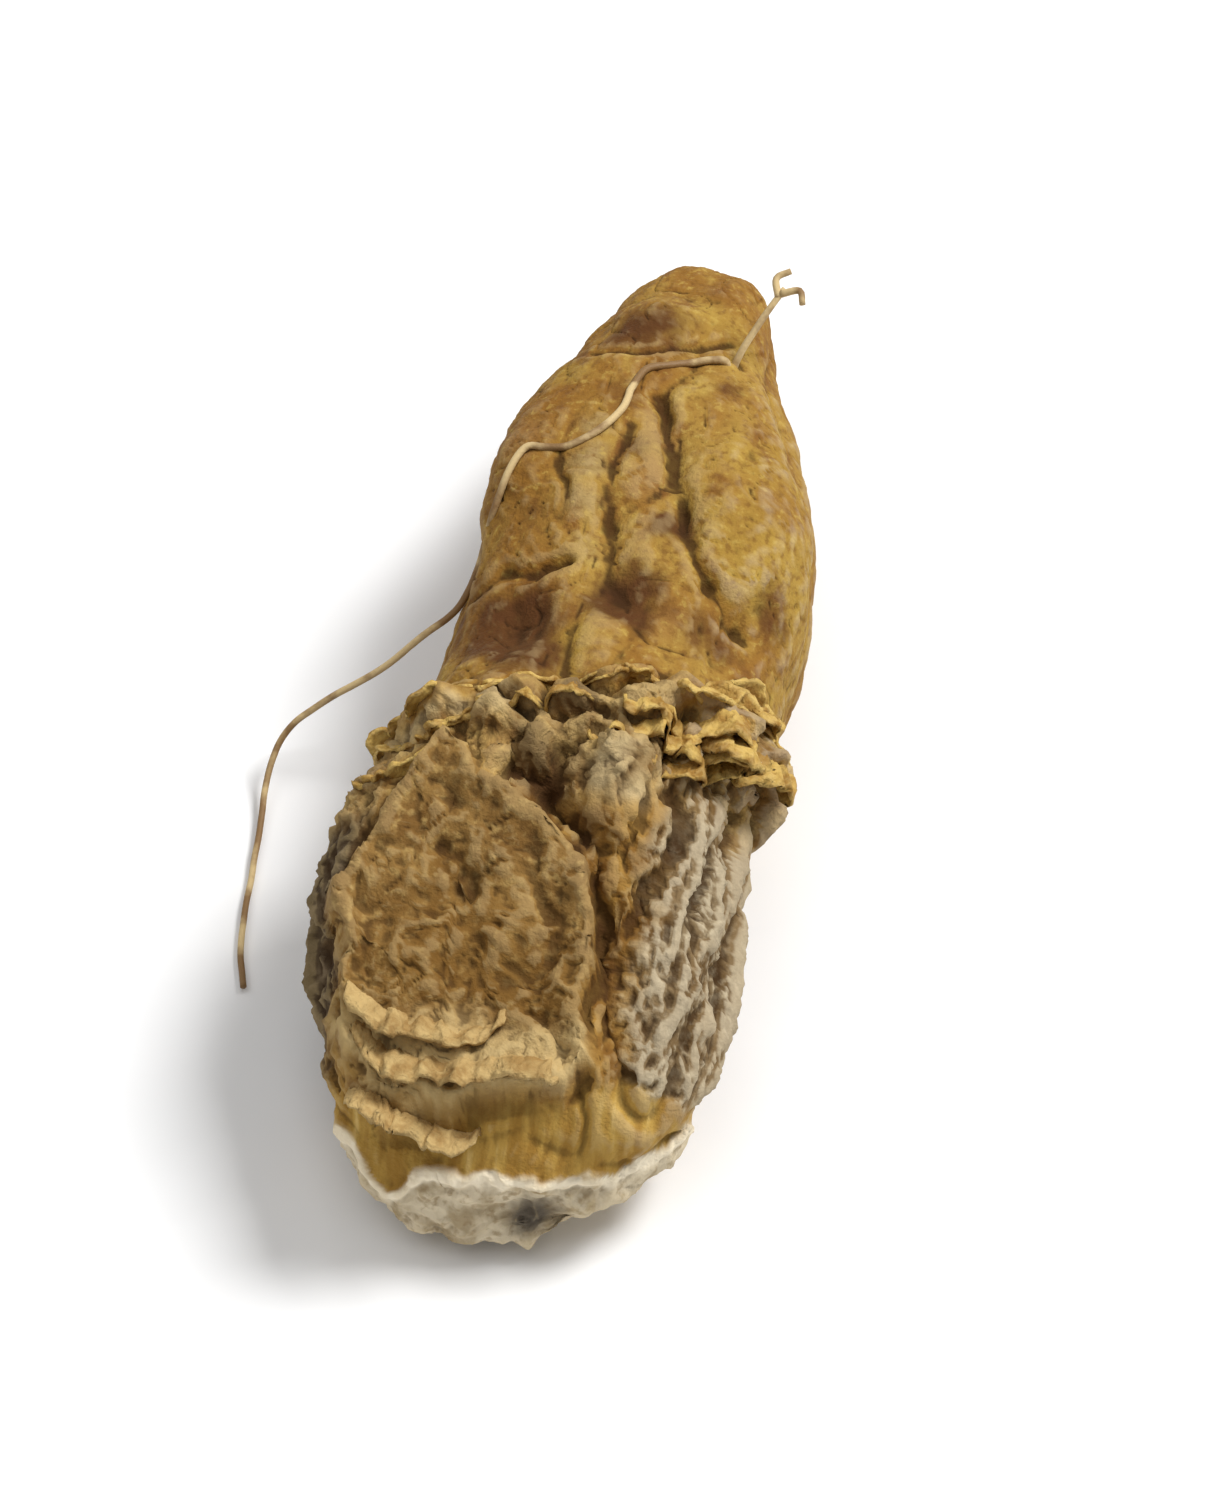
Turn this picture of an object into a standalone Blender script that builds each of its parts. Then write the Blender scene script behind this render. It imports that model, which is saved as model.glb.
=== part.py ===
"""One cut and dried piece of Solomon's seal root, lying on a flat surface.

The piece is a rhizome that grew as one body. Its broad, older segment carries the round stem scar
that gives the plant its name, and ends in a slanting cut face. A crumpled collar parts it from the
younger segment, which tapers to a blunt tip. One thread-thin rootlet grows out near the tip, lies
over the piece and trails down to the surface beside it.

+Y runs from the cut end to the tip, +Z is up, and the origin is on the flat spot that the piece
rests on. Lengths are in metres, and MM turns the millimetres of the tables into metres.
"""

from itertools import product
from math import pi

import bpy
import numpy as np
from mathutils import Vector
from mathutils.bvhtree import BVHTree

MM = 0.001

LENGTH = 43.8 * MM
# How far the origin lies from the cut end.
REST_FROM_CUT = 19.5 * MM

# The root's sections. Each row is, in millimetres: distance from the cut end, middle in X, half
# the width, height of the underside, height of the widest level, height of the upper side.
SECTIONS = np.array([
    (0.0, -1.0, 3.4, 0.6, 3.0, 5.2),
    (1.5, -0.9, 4.9, 0.5, 3.8, 6.9),
    (3.0, -0.6, 5.8, 0.4, 4.3, 7.9),
    (6.0, -0.4, 6.8, 0.0, 4.7, 9.3),
    (9.0, -0.7, 7.4, -0.2, 4.9, 10.5),
    (12.0, -0.8, 7.4, -0.3, 5.3, 11.4),
    (15.5, -0.35, 6.4, -0.3, 5.8, 12.1),
    (18.0, 0.1, 6.2, -0.3, 6.0, 12.2),
    (20.5, 0.3, 6.5, -0.3, 6.0, 11.7),
    (23.0, 0.6, 6.5, -0.3, 6.0, 11.8),
    (26.0, 0.8, 6.5, -0.2, 6.1, 12.0),
    (29.0, 0.6, 6.3, 0.1, 6.2, 12.0),
    (32.0, 0.3, 5.8, 0.7, 6.3, 11.8),
    (35.0, 0.1, 5.1, 1.5, 6.6, 11.4),
    (38.0, 0.2, 4.0, 2.5, 6.8, 10.6),
    (40.0, 0.5, 3.4, 3.2, 6.9, 10.0),
]) * MM
# Below 1 squares the shoulders of a section's upper half. The lower half is an ellipse.
SHOULDER_POWER = 0.82
TIP_STARTS = 39.0 * MM
CUT_RIM = 0.9 * MM
# How far the cut face leans back for each metre of height, and how soon the lean fades out.
CUT_LEAN = 0.27
CUT_LEAN_FADE = 3.0 * MM

# Swellings of the upper side, in millimetres: X, distance from the cut end, radii, height.
SWELLINGS = np.array([
    (5.1, 27.5, 2.2, 4.4, 0.9),
    (-4.0, 29.9, 1.6, 3.2, 0.8),
    (-0.3, 20.8, 1.1, 1.6, 0.6),
    (-1.6, 28.4, 0.6, 3.0, 0.22),
    (0.7, 28.6, 0.8, 3.2, 0.28),
    (0.9, 22.4, 1.0, 1.1, -0.5),
    (2.2, 26.6, 0.7, 1.0, -0.45),
    (-3.0, 21.2, 1.5, 1.8, -0.8),
    (-0.3, 38.4, 2.4, 1.6, 0.5),
    (4.9, 8.5, 1.1, 5.5, 0.7),
    (2.1, 13.6, 1.0, 1.8, 1.0),
    (6.0, 18.2, 1.5, 1.5, 0.4),
    (-4.0, 16.4, 1.4, 1.1, 0.5),
]) * MM

# Grooves of the upper side, in millimetres: depth, half width, then points of X and distance
# from the cut end.
GROOVES = {
    "between the two strips": (0.16, 0.25, [(-0.6, 31.0), (-0.8, 28.0), (-0.4, 25.6)]),
    "right of the strips": (0.32, 0.32, [(0.3, 33.2), (1.7, 28.7), (2.5, 25.7), (3.5, 23.8)]),
    "left of the strips": (0.12, 0.25, [(-2.6, 31.5), (-2.4, 28.0), (-1.6, 24.9)]),
    "under the left lobe": (0.4, 0.3, [(-5.0, 23.4), (-3.7, 23.7), (-1.8, 23.8)]),
    "under the right lobe": (0.4, 0.3, [(3.6, 23.6), (5.2, 22.6)]),
    "behind the tip": (0.28, 0.3, [(-2.6, 35.3), (-0.4, 35.6), (2.6, 37.6)]),
    "beside the seal": (0.8, 0.35, [(-1.6, 14.0), (1.5, 11.9), (2.5, 9.6), (2.7, 7.4)]),
}

# The outline of the stem scar, or seal, in millimetres: X and distance from the cut end.
SEAL_OUTLINE = np.array([
    (-4.3, 14.4), (-2.8, 13.3), (-0.6, 12.1), (1.3, 10.6), (2.1, 8.9), (2.3, 7.3), (2.2, 5.4),
    (2.9, 3.9), (2.0, 3.0), (-0.1, 2.6), (-2.3, 2.0), (-4.1, 2.1), (-5.0, 2.7), (-6.1, 3.5),
    (-6.8, 4.8), (-6.9, 5.8), (-6.6, 6.9), (-7.2, 8.2), (-7.5, 9.0), (-6.6, 10.2), (-6.0, 11.8),
    (-5.6, 13.4),
]) * MM
# The seal is a plate on a slope: its height at the cut end, its rise along Y and along X.
SEAL_LOW = 6.2 * MM
SEAL_RISE_Y = 0.44
SEAL_RISE_X = 0.07
SEAL_PROUD = 0.45 * MM
# The plate stands at most this far above the skin under it.
SEAL_MOST = 1.2 * MM
SEAL_EDGE = 0.9 * MM
# Creases of the seal, like the grooves above.
SEAL_CREASES = {
    "right of the flap": (0.4, 0.3, [(0.4, 5.2), (1.4, 4.4), (2.2, 3.4)]),
    "pits": (0.5, 0.5, [(-3.6, 10.4), (-2.6, 9.4)]),
    "right crack": (0.35, 0.35, [(-0.4, 10.2), (0.6, 8.4)]),
}

# The collar runs askew: its distance from the cut end changes by this much for each metre of X.
# Its middle is at this height.
COLLAR_AT = 17.6 * MM
COLLAR_SKEW = 0.2
# On top, above the lower and up to the higher of these heights, it comes nearer to the cut end.
COLLAR_SAG = 1.1 * MM
COLLAR_SAG_HEIGHTS = (8.0 * MM, 12.5 * MM)
COLLAR_MIDDLE = 6.0 * MM
COLLAR_HEIGHT = 1.6 * MM
# The collar fades out towards the left of these two values of X, and towards the lower of these
# two heights.
COLLAR_FADES = (-9.0 * MM, 1.0 * MM)
COLLAR_FADES_LOW = (4.3 * MM, 6.8 * MM)
# How far the collar slopes down to the older segment, and to the younger one.
COLLAR_SLOPES = (2.1 * MM, 0.8 * MM)

# Strips of torn tissue that stand on the collar: millimetres past its line, first and last angle
# round the root in degrees from +X, height in millimetres, and lean towards the tip.
COLLAR_STRIPS = [
    (1.2, -12, 70, 1.1, -0.5), (0.3, -8, 64, 0.8, -0.4), (1.2, 62, 126, 0.6, -0.4),
    (0.6, 118, 172, 0.5, -0.4),
]
# Flaps folded over the seal's foot: route of X and distance from the cut end, reach, lean.
FOOT_FLAPS = [
    ([(-5.8, 4.9), (-3.8, 3.9), (-1.0, 3.8), (1.9, 4.2)], 0.4, -2.2),
]
# How deep the strips' feet lie under the skin, and how high the strips stay above the surface.
STRIP_SINK = 0.4 * MM
STRIP_CLEARANCE = 0.1 * MM
# The least and the greatest share of its height that a torn strip keeps.
STRIP_TORN = (0.1, 1.15)
# A radius that is about the collar's.
COLLAR_RADIUS = 7.0 * MM
# A distance from the root's middle that is outside the root on every side.
OUTSIDE = 30.0 * MM

# Round scars where rootlets broke off, in millimetres: X, distance from the cut end, and height
# of a point that is near the skin.
ROOTLET_SCARS = np.array([
    (7.2, 11.0, 3.2), (6.4, 25.0, 4.0), (5.0, 33.0, 3.4), (-8.6, 15.0, 3.2), (-6.4, 23.5, 2.6),
    (-6.0, 31.0, 4.4), (3.2, 36.0, 3.0), (-4.8, 6.0, 0.6), (3.6, 17.0, 0.4), (-2.5, 33.5, 0.8),
]) * MM
SCAR_RADIUS = 0.9 * MM
SCAR_HEIGHT = 0.4 * MM

# The rootlet's route, in millimetres: X, distance from the cut end, height of its middle. The
# stretch with no height lies on the root.
ROOTLET_ON_ROOT = [
    (2.4, 35.8), (1.1, 35.3), (-0.4, 34.2), (-0.8, 33.0), (-0.9, 31.6), (-1.6, 30.1),
    (-2.6, 29.3), (-4.1, 29.2), (-4.6, 28.2), (-4.9, 27.2), (-5.3, 26.0), (-5.8, 24.9),
]
ROOTLET_FREE = [
    (-6.9, 24.2, 6.6), (-9.0, 23.4, 4.6), (-12.0, 22.4, 2.2), (-12.8, 20.6, 0.8),
    (-12.6, 18.2, 0.33), (-12.2, 13.4, 0.30), (-11.6, 11.0, 0.30),
]
ROOTLET_BRANCH = [(2.4, 35.8, 8.6), (2.8, 36.2, 10.8), (3.6, 37.5, 12.0), (4.3, 38.4, 12.7)]
# Short curls at the branch's end.
ROOTLET_CURLS = [
    [(4.2, 38.2, 12.6), (4.9, 38.2, 12.9), (5.1, 37.7, 12.7)],
    [(4.1, 38.1, 12.5), (3.9, 38.8, 12.8), (4.4, 39.1, 13.0)],
]
ROOTLET_RADIUS = 0.27 * MM
ROOTLET_SIDES = 6
ROOTLET_STEP = 0.9 * MM

RINGS = 78
COLUMNS = 56
STRIP_STEP = 0.8 * MM
STRIP_ROWS = 3
STRIP_THICKNESS = 0.45 * MM
# Above 0 sets the columns closer together on the upper side than on the underside.
COLUMN_BIAS = 0.35


def smooth_step(low, high, value):
    """0 on low's side, 1 past high, and an even curve between."""
    share = np.clip((value - low) / (high - low), 0.0, 1.0)
    return share * share * (3.0 - 2.0 * share)


def noise(points, size, seed):
    """Smooth noise from about -1 to 1, whose lumps are about size across along each axis."""
    rng = np.random.default_rng(seed)
    order = rng.permutation(256)
    slopes = rng.normal(size=(256, 3))
    slopes /= np.linalg.norm(slopes, axis=1, keepdims=True)
    scaled = points / np.asarray(size)
    cell = np.floor(scaled).astype(int)
    inside = scaled - cell
    fade = inside**3 * (inside * (inside * 6.0 - 15.0) + 10.0)
    total = np.zeros(scaled.shape[:-1])
    for corner in product((0, 1), repeat=3):
        near = (cell + corner) & 255
        pick = order[(order[(order[near[..., 0]] + near[..., 1]) & 255] + near[..., 2]) & 255]
        weight = np.where(corner, fade, 1.0 - fade).prod(axis=-1)
        total += weight * (slopes[pick] * (inside - corner)).sum(axis=-1)
    return 1.6 * total


def folds(points, size, seed):
    """Rounded folds from 0 to about 1 with narrow creases at 0, as on shrunken skin."""
    return np.minimum(np.abs(noise(points, size, seed)) * 2.2, 1.0)


def section_at(along):
    """Middle in X, half width, underside, widest level and upper side at each distance."""
    at, values = SECTIONS[:, 0], SECTIONS[:, 1:]
    slope = np.gradient(values, at, axis=0)
    row = np.clip(np.searchsorted(at, along) - 1, 0, len(at) - 2)
    gap = at[row + 1] - at[row]
    t = np.clip((along - at[row]) / gap, 0.0, 1.0)[..., None]
    gap = gap[..., None]
    start = values[row] * (1 + 2 * t) * (1 - t) ** 2 + slope[row] * gap * t * (1 - t) ** 2
    end = values[row + 1] * t**2 * (3 - 2 * t) - slope[row + 1] * gap * t**2 * (1 - t)
    return np.moveaxis(start + end, -1, 0)


def rings_along(rings):
    """Distance from the cut end and share of the full section for each ring, cut end first."""
    on_cut = rings // 8
    on_tip = rings // 7
    cut_share = np.arange(1, on_cut + 1) / on_cut
    cut = np.stack([CUT_RIM * cut_share**6, cut_share])
    along = np.linspace(CUT_RIM, TIP_STARTS, rings - on_cut - on_tip + 1)[1:]
    side = np.stack([along, np.ones_like(along)])
    turn = np.linspace(0.0, pi / 2, on_tip + 2)[1:-1]
    tip = np.stack([TIP_STARTS + (LENGTH - TIP_STARTS) * np.sin(turn), np.cos(turn) ** 0.9])
    return np.concatenate([cut, side, tip], axis=1)


def plain_skin(rings, columns):
    """The root's smooth skin as a grid of points, one row for each ring."""
    along, share = rings_along(rings)
    middle, half, under, level, upper = section_at(along)
    turn = np.arange(columns) * 2 * pi / columns
    turn = turn + COLUMN_BIAS * np.cos(turn)
    power = np.where(np.sin(turn) > 0, SHOULDER_POWER, 1.0)
    across = np.sign(np.cos(turn)) * np.abs(np.cos(turn)) ** power
    up = np.sign(np.sin(turn)) * np.abs(np.sin(turn)) ** power
    reach = np.where(up[None, :] > 0, (upper - level)[:, None], (level - under)[:, None])
    x = middle[:, None] + (half * share)[:, None] * across
    z = level[:, None] + share[:, None] * up * reach
    lean = CUT_LEAN * z * np.exp(-along / CUT_LEAN_FADE)[:, None]
    return np.stack([x, along[:, None] + lean, z], axis=-1)


def grid_normals(grid):
    """Outward unit normals of a grid of rings."""
    around = np.roll(grid, -1, axis=1) - np.roll(grid, 1, axis=1)
    forward = np.gradient(grid, axis=0)
    normal = np.cross(forward, around)
    return normal / np.maximum(np.linalg.norm(normal, axis=-1, keepdims=True), 1e-12)


def distance_to_line(x, along, line):
    """Distance in the X-Y plane from each point to a broken line."""
    best = np.full(x.shape, np.inf)
    for (ax, ay), (bx, by) in zip(line[:-1], line[1:]):
        dx, dy = bx - ax, by - ay
        t = np.clip(((x - ax) * dx + (along - ay) * dy) / (dx * dx + dy * dy), 0.0, 1.0)
        best = np.minimum(best, np.hypot(x - ax - t * dx, along - ay - t * dy))
    return best


def depth_in_seal(x, along):
    """How far each point is inside the seal's outline, seen from above. It is negative outside."""
    line = np.vstack([SEAL_OUTLINE, SEAL_OUTLINE[:1]])
    inside = np.zeros(x.shape, bool)
    for (ax, ay), (bx, by) in zip(line[:-1], line[1:]):
        if ay != by:
            crosses = (ay > along) != (by > along)
            inside ^= crosses & (x < ax + (along - ay) * (bx - ax) / (by - ay))
    distance = distance_to_line(x, along, line)
    return np.where(inside, distance, -distance)


def carve_lines(skin, lines):
    """Heights, below zero, of a set of grooves, which waver and are deeper in some places."""
    x = skin[..., 0] + 0.4 * MM * noise(skin, 1.8 * MM, 16)
    along = skin[..., 1] + 0.4 * MM * noise(skin, 1.8 * MM, 17)
    uneven = 1.0 + 0.7 * noise(skin, 2.2 * MM, 18)
    height = np.zeros(x.shape)
    for depth, half_width, line in lines.values():
        far = distance_to_line(x, along, np.array(line) * MM)
        height -= depth * MM * uneven * np.exp(-((far / (half_width * MM)) ** 2))
    return height


def carve_upper_side(skin, normal):
    """Heights of the swellings and grooves, which fade out down the sides."""
    x, along = skin[..., 0], skin[..., 1]
    height = carve_lines(skin, GROOVES)
    for at_x, at_along, radius_x, radius_along, rise in SWELLINGS:
        far = ((x - at_x) / radius_x) ** 2 + ((along - at_along) / radius_along) ** 2
        height += rise * np.exp(-far)
    return height * smooth_step(0.05, 0.5, normal[..., 2])


def wrinkle_sides(skin):
    """Heights of the lengthwise folds that drying left, strongest on the older segment."""
    along = skin[..., 1]
    sway = noise(skin, 5.0 * MM, 11)[..., None] * np.array([1.2, 0.0, 1.2]) * MM
    older = 1.0 - smooth_step(15.0 * MM, 20.0 * MM, along)
    broad = folds(skin + sway, np.array([4.2, 15.0, 4.2]) * MM, 12) - 0.5
    narrow = folds(skin + sway, np.array([1.9, 6.0, 1.9]) * MM, 13) - 0.5
    rise = (0.50 + 0.25 * older) * MM * broad + (0.08 + 0.42 * older) * MM * narrow
    calm = 0.5 * smooth_step(36.0 * MM, 41.0 * MM, along) + 0.7 * smooth_step(4.5 * MM, 1.0 * MM, along)
    return rise * (1.0 - calm)


def collar_line(x, z):
    """The collar's distance from the cut end at each X and height."""
    return COLLAR_AT + COLLAR_SKEW * x - COLLAR_SAG * smooth_step(*COLLAR_SAG_HEIGHTS, z)


def crumple_collar(skin):
    """Heights of the collar's crumpled ring."""
    x, along, z = skin[..., 0], skin[..., 1], skin[..., 2]
    wander = noise(skin, 5.0 * MM, 21) * 1.2 * MM
    past = along - collar_line(x, z) - wander
    ring = np.exp(-((past / np.where(past < 0, *COLLAR_SLOPES)) ** 2))
    crumple = folds(skin, np.array([2.0, 1.6, 2.0]) * MM, 22)
    fades = (0.25 + 0.75 * smooth_step(*COLLAR_FADES, x)) * smooth_step(*COLLAR_FADES_LOW, z)
    return ring * COLLAR_HEIGHT * crumple * fades


def raise_scars(skin):
    """Heights of the round rootlet scars: a low mound with a dent in its middle."""
    height = np.zeros(skin.shape[:-1])
    for scar in ROOTLET_SCARS:
        far = np.linalg.norm(skin - scar, axis=-1) / SCAR_RADIUS
        height += SCAR_HEIGHT * (np.exp(-(far**2)) - 1.2 * np.exp(-((far / 0.45) ** 2)))
    return height


def lay_seal(skin, normal, edge):
    """The skin with the seal's plate raised on it, and each point's share in the plate."""
    x, along = skin[..., 0], skin[..., 1]
    jagged = noise(skin, 1.5 * MM, 31) * 0.35 * MM
    inside = depth_in_seal(x, along) + jagged
    share = smooth_step(-edge / 2, edge / 2, inside) * smooth_step(-0.1, 0.2, normal[..., 2])
    plate = SEAL_LOW + SEAL_RISE_Y * along + SEAL_RISE_X * x + SEAL_PROUD
    lumps = noise(skin, 2.6 * MM, 32) * 0.30 * MM + noise(skin, 1.5 * MM, 33) * 0.22 * MM
    lip = 0.35 * MM * np.exp(-((inside / (0.8 * MM)) ** 2))
    height = np.minimum(plate, skin[..., 2] + SEAL_MOST)
    height += lumps + lip + carve_lines(skin, SEAL_CREASES)
    laid = skin.copy()
    laid[..., 2] += share * (height - skin[..., 2])
    return laid, share


def root_skin(rings, columns, edge):
    """The root's wrinkled skin as a grid of points, and each point's share in the seal."""
    skin = plain_skin(rings, columns)
    normal = grid_normals(skin)
    height = carve_upper_side(skin, normal) + raise_scars(skin)
    height += crumple_collar(skin) + wrinkle_sides(skin)
    skin, share = lay_seal(skin + normal * height[..., None], normal, edge)
    skin[..., 1] -= REST_FROM_CUT
    skin[..., 2] = np.maximum(skin[..., 2], 0.0)
    return skin, share


def mesh_from_rings(name, grid):
    """A closed mesh from a grid of rings, with a fan at each end."""
    rings, columns = grid.shape[:2]
    points = [*grid.reshape(-1, 3), grid[0].mean(axis=0), grid[-1].mean(axis=0)]
    first_pole, last_pole = rings * columns, rings * columns + 1
    faces = []
    for column in range(columns):
        beside = (column + 1) % columns
        faces.append((first_pole, column, beside))
        top = (rings - 1) * columns
        faces.append((last_pole, top + beside, top + column))
        for ring in range(rings - 1):
            low, high = ring * columns, (ring + 1) * columns
            faces.append((low + column, high + column, high + beside))
            faces.append((low + column, high + beside, low + beside))
    mesh = bpy.data.meshes.new(name)
    mesh.from_pydata([tuple(p) for p in points], [], faces)
    mesh.validate()
    return mesh


def smooth_route(points, step):
    """Points about step apart on a smooth curve through the given points."""
    ends = [2 * points[0] - points[1], *points, 2 * points[-1] - points[-2]]
    route = []
    for a, b, c, d in zip(ends[:-3], ends[1:-2], ends[2:-1], ends[3:]):
        count = max(1, round(np.linalg.norm(c - b) / step))
        for t in np.arange(count) / count:
            curve = 2 * b + (c - a) * t + (2 * a - 5 * b + 4 * c - d) * t**2
            route.append(0.5 * (curve + (3 * b - a - 3 * c + d) * t**3))
    return np.array([*route, points[-1]])


def tube_rings(route, radius_at, sides):
    """Rings of a tube along a route. radius_at gives the radius at each share of the way."""
    forward = np.gradient(route, axis=0)
    forward /= np.linalg.norm(forward, axis=1, keepdims=True)
    side = np.cross(forward, (0.0, 0.0, 1.0)) + np.array([1e-6, 0.0, 0.0])
    for place in range(1, len(side)):
        carried = side[place - 1] - forward[place] * (side[place - 1] @ forward[place])
        side[place] = carried
    side /= np.linalg.norm(side, axis=1, keepdims=True)
    other = np.cross(side, forward)
    turn = np.arange(sides) * 2 * pi / sides
    radius = radius_at(np.linspace(0.0, 1.0, len(route)))[:, None, None]
    circle = np.cos(turn)[None, :, None] * side[:, None] + np.sin(turn)[None, :, None] * other[:, None]
    return route[:, None] + radius * circle


def tree_of(mesh):
    """A search tree of a mesh, which rays are cast at."""
    return BVHTree.FromPolygons([v.co for v in mesh.vertices], [p.vertices for p in mesh.polygons])


def tissue_strip(tree, starts, outward, height, lean, seed, rows, thickness):
    """Rings of a crumpled strip that stands on the skin where rays towards its starts meet it."""
    feet = []
    for start, out in zip(starts, outward):
        hit = tree.ray_cast(Vector(start + out * OUTSIDE), Vector(-out))[0]
        feet.append(np.array(hit) - out * STRIP_SINK)
    feet = np.array(feet)
    ends = np.sin(pi * np.linspace(0.0, 1.0, len(feet))) ** 0.4
    torn = np.clip(0.7 + 1.1 * noise(feet, 2.0 * MM, seed), *STRIP_TORN)
    tall = height * ends * torn + STRIP_SINK
    ruffle = height * (0.6 * noise(feet, 2.0 * MM, seed + 1) + 0.3 * noise(feet, 0.9 * MM, seed + 5))
    up = np.linspace(0.0, 1.0, rows)
    up = np.concatenate([up, up[::-1]])
    back = np.repeat([0.0, 1.0], rows)
    depth = back * thickness * (1.0 - 0.4 * up) / np.hypot(1.0, lean)
    rings = feet[:, None] + outward[:, None] * (tall[:, None] * up + depth * lean)[..., None]
    rings[..., 1] += lean * tall[:, None] * up**2 + ruffle[:, None] * up - depth
    crumple = np.stack([noise(rings, 1.1 * MM, seed + place) for place in (2, 3, 4)], axis=-1)
    rings += crumple * (0.3 * height * up * ends[:, None])[..., None]
    rings[..., 2] = np.maximum(rings[..., 2], STRIP_CLEARANCE)
    return rings


def tissue(mesh, strips, flaps, step, rows, thickness):
    """Rings of each strip round the collar and of each flap on the seal's foot."""
    tree = tree_of(mesh)
    made = []
    for past, first, last, height, lean in strips:
        places = round(np.radians(last - first) * COLLAR_RADIUS / step)
        turn = np.radians(np.linspace(first, last, places))
        outward = np.stack([np.cos(turn), 0.0 * turn, np.sin(turn)], axis=-1)
        wander = past * MM + 0.7 * MM * noise(outward + past, 0.35, 61)
        line = collar_line(COLLAR_RADIUS * outward[:, 0], COLLAR_MIDDLE + COLLAR_RADIUS * outward[:, 2])
        starts = np.stack([0.0 * turn, line + wander - REST_FROM_CUT, 0.0 * turn + COLLAR_MIDDLE], axis=-1)
        seed = 100 + 10 * len(made)
        made.append(tissue_strip(tree, starts, outward, height * MM, lean, seed, rows, thickness))
    for route, reach, lean in flaps:
        line = smooth_route([from_cut(x, along, 0.0) for x, along in route], step)
        outward = np.tile([0.0, 0.0, 1.0], (len(line), 1))
        seed = 100 + 10 * len(made)
        made.append(tissue_strip(tree, line, outward, reach * MM, lean, seed, rows, thickness))
    return made


def from_cut(x, along, z):
    """A point in the root's frame, from millimetres measured along the root from its cut end."""
    return np.array([x, along, z]) * MM - np.array([0.0, REST_FROM_CUT, 0.0])


def rootlet_routes(root_mesh):
    """The routes of the rootlet, which is laid on the root, of its short branch and of the curls."""
    tree = tree_of(root_mesh)
    laid = []
    for x, along in ROOTLET_ON_ROOT:
        start = Vector(from_cut(x, along, OUTSIDE / MM))
        hit, normal = tree.ray_cast(start, Vector((0.0, 0.0, -1.0)))[:2]
        laid.append(np.array(hit) + 0.5 * ROOTLET_RADIUS * np.array(normal))
    sunk = laid[0] - np.array([0.0, 0.0, 1.4 * MM])
    free = [from_cut(*place) for place in ROOTLET_FREE]
    side_routes = [[from_cut(*place) for place in route] for route in (ROOTLET_BRANCH, *ROOTLET_CURLS)]
    return [smooth_route(route, ROOTLET_STEP) for route in ([sunk, *laid, *free], *side_routes)]


def taper(share):
    """The rootlet's radius along its way: it thins to its end."""
    return ROOTLET_RADIUS * (1.05 - 0.2 * share)


def add_object(name, data):
    """An object for a mesh, linked to the scene."""
    made = bpy.data.objects.new(name, data)
    bpy.context.scene.collection.objects.link(made)
    return made


def fuse(root, pieces):
    """Joins the pieces to the root by one Boolean union, then removes them."""
    group = bpy.data.collections.new("outgrowths")
    bpy.context.scene.collection.children.link(group)
    for piece in pieces:
        bpy.context.scene.collection.objects.unlink(piece)
        group.objects.link(piece)
    union = root.modifiers.new("fuse outgrowths", "BOOLEAN")
    union.operation = "UNION"
    union.operand_type = "COLLECTION"
    union.collection = group
    union.solver = "EXACT"
    graph = bpy.context.evaluated_depsgraph_get()
    fused = bpy.data.meshes.new_from_object(root.evaluated_get(graph))
    root.modifiers.clear()
    root.data = fused
    for piece in pieces:
        bpy.data.objects.remove(piece)
    bpy.data.collections.remove(group)


def dried_root_material():
    """Dry ochre-brown skin with no gloss."""
    material = bpy.data.materials.new("dried_root")
    material.use_nodes = True
    shader = material.node_tree.nodes["Principled BSDF"]
    shader.inputs["Base Color"].default_value = (0.30, 0.19, 0.085, 1.0)
    shader.inputs["Roughness"].default_value = 0.85
    shader.inputs["Metallic"].default_value = 0.0
    return material


def main():
    for old in list(bpy.data.objects):
        bpy.data.objects.remove(old)
    skin, _ = root_skin(RINGS, COLUMNS, SEAL_EDGE)
    mesh = mesh_from_rings("root", skin)
    root = add_object("root", mesh)
    grids = tissue(mesh, COLLAR_STRIPS, FOOT_FLAPS, STRIP_STEP, STRIP_ROWS, STRIP_THICKNESS)
    grids += [tube_rings(route, taper, ROOTLET_SIDES) for route in rootlet_routes(mesh)]
    fuse(root, [add_object("outgrowth", mesh_from_rings("outgrowth", grid)) for grid in grids])
    root.data.materials.clear()
    root.data.materials.append(dried_root_material())
    root.data.shade_smooth()


main()
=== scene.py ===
"""The looks of one cut and dried piece of Solomon's seal root, lying on a pale floor.

The fine skin repeats the form of the CAD part on a much closer grid, and adds the relief that is too
small for it: bark, granules, fibres and creases. Torn tissue stands on the collar, and a rootlet as
thin as thread trails down beside the piece.
"""

from itertools import product
from math import cos, pi, radians, sin

import bpy
import numpy as np
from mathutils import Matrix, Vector
from mathutils.bvhtree import BVHTree


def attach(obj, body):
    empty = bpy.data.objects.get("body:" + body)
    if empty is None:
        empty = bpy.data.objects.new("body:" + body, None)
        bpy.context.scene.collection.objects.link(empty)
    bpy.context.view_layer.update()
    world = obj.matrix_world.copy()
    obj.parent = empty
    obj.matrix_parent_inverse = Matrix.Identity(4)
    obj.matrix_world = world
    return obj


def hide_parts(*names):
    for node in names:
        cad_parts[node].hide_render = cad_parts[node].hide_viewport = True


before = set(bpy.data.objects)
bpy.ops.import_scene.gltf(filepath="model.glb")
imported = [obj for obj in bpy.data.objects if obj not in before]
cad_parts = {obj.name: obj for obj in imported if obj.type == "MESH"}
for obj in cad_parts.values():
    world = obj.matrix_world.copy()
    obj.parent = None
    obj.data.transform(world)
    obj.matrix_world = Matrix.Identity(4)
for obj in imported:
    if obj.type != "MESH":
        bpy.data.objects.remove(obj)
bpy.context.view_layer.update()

MM = 0.001

LENGTH = 43.8 * MM
# How far the origin lies from the cut end.
REST_FROM_CUT = 19.5 * MM

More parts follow.
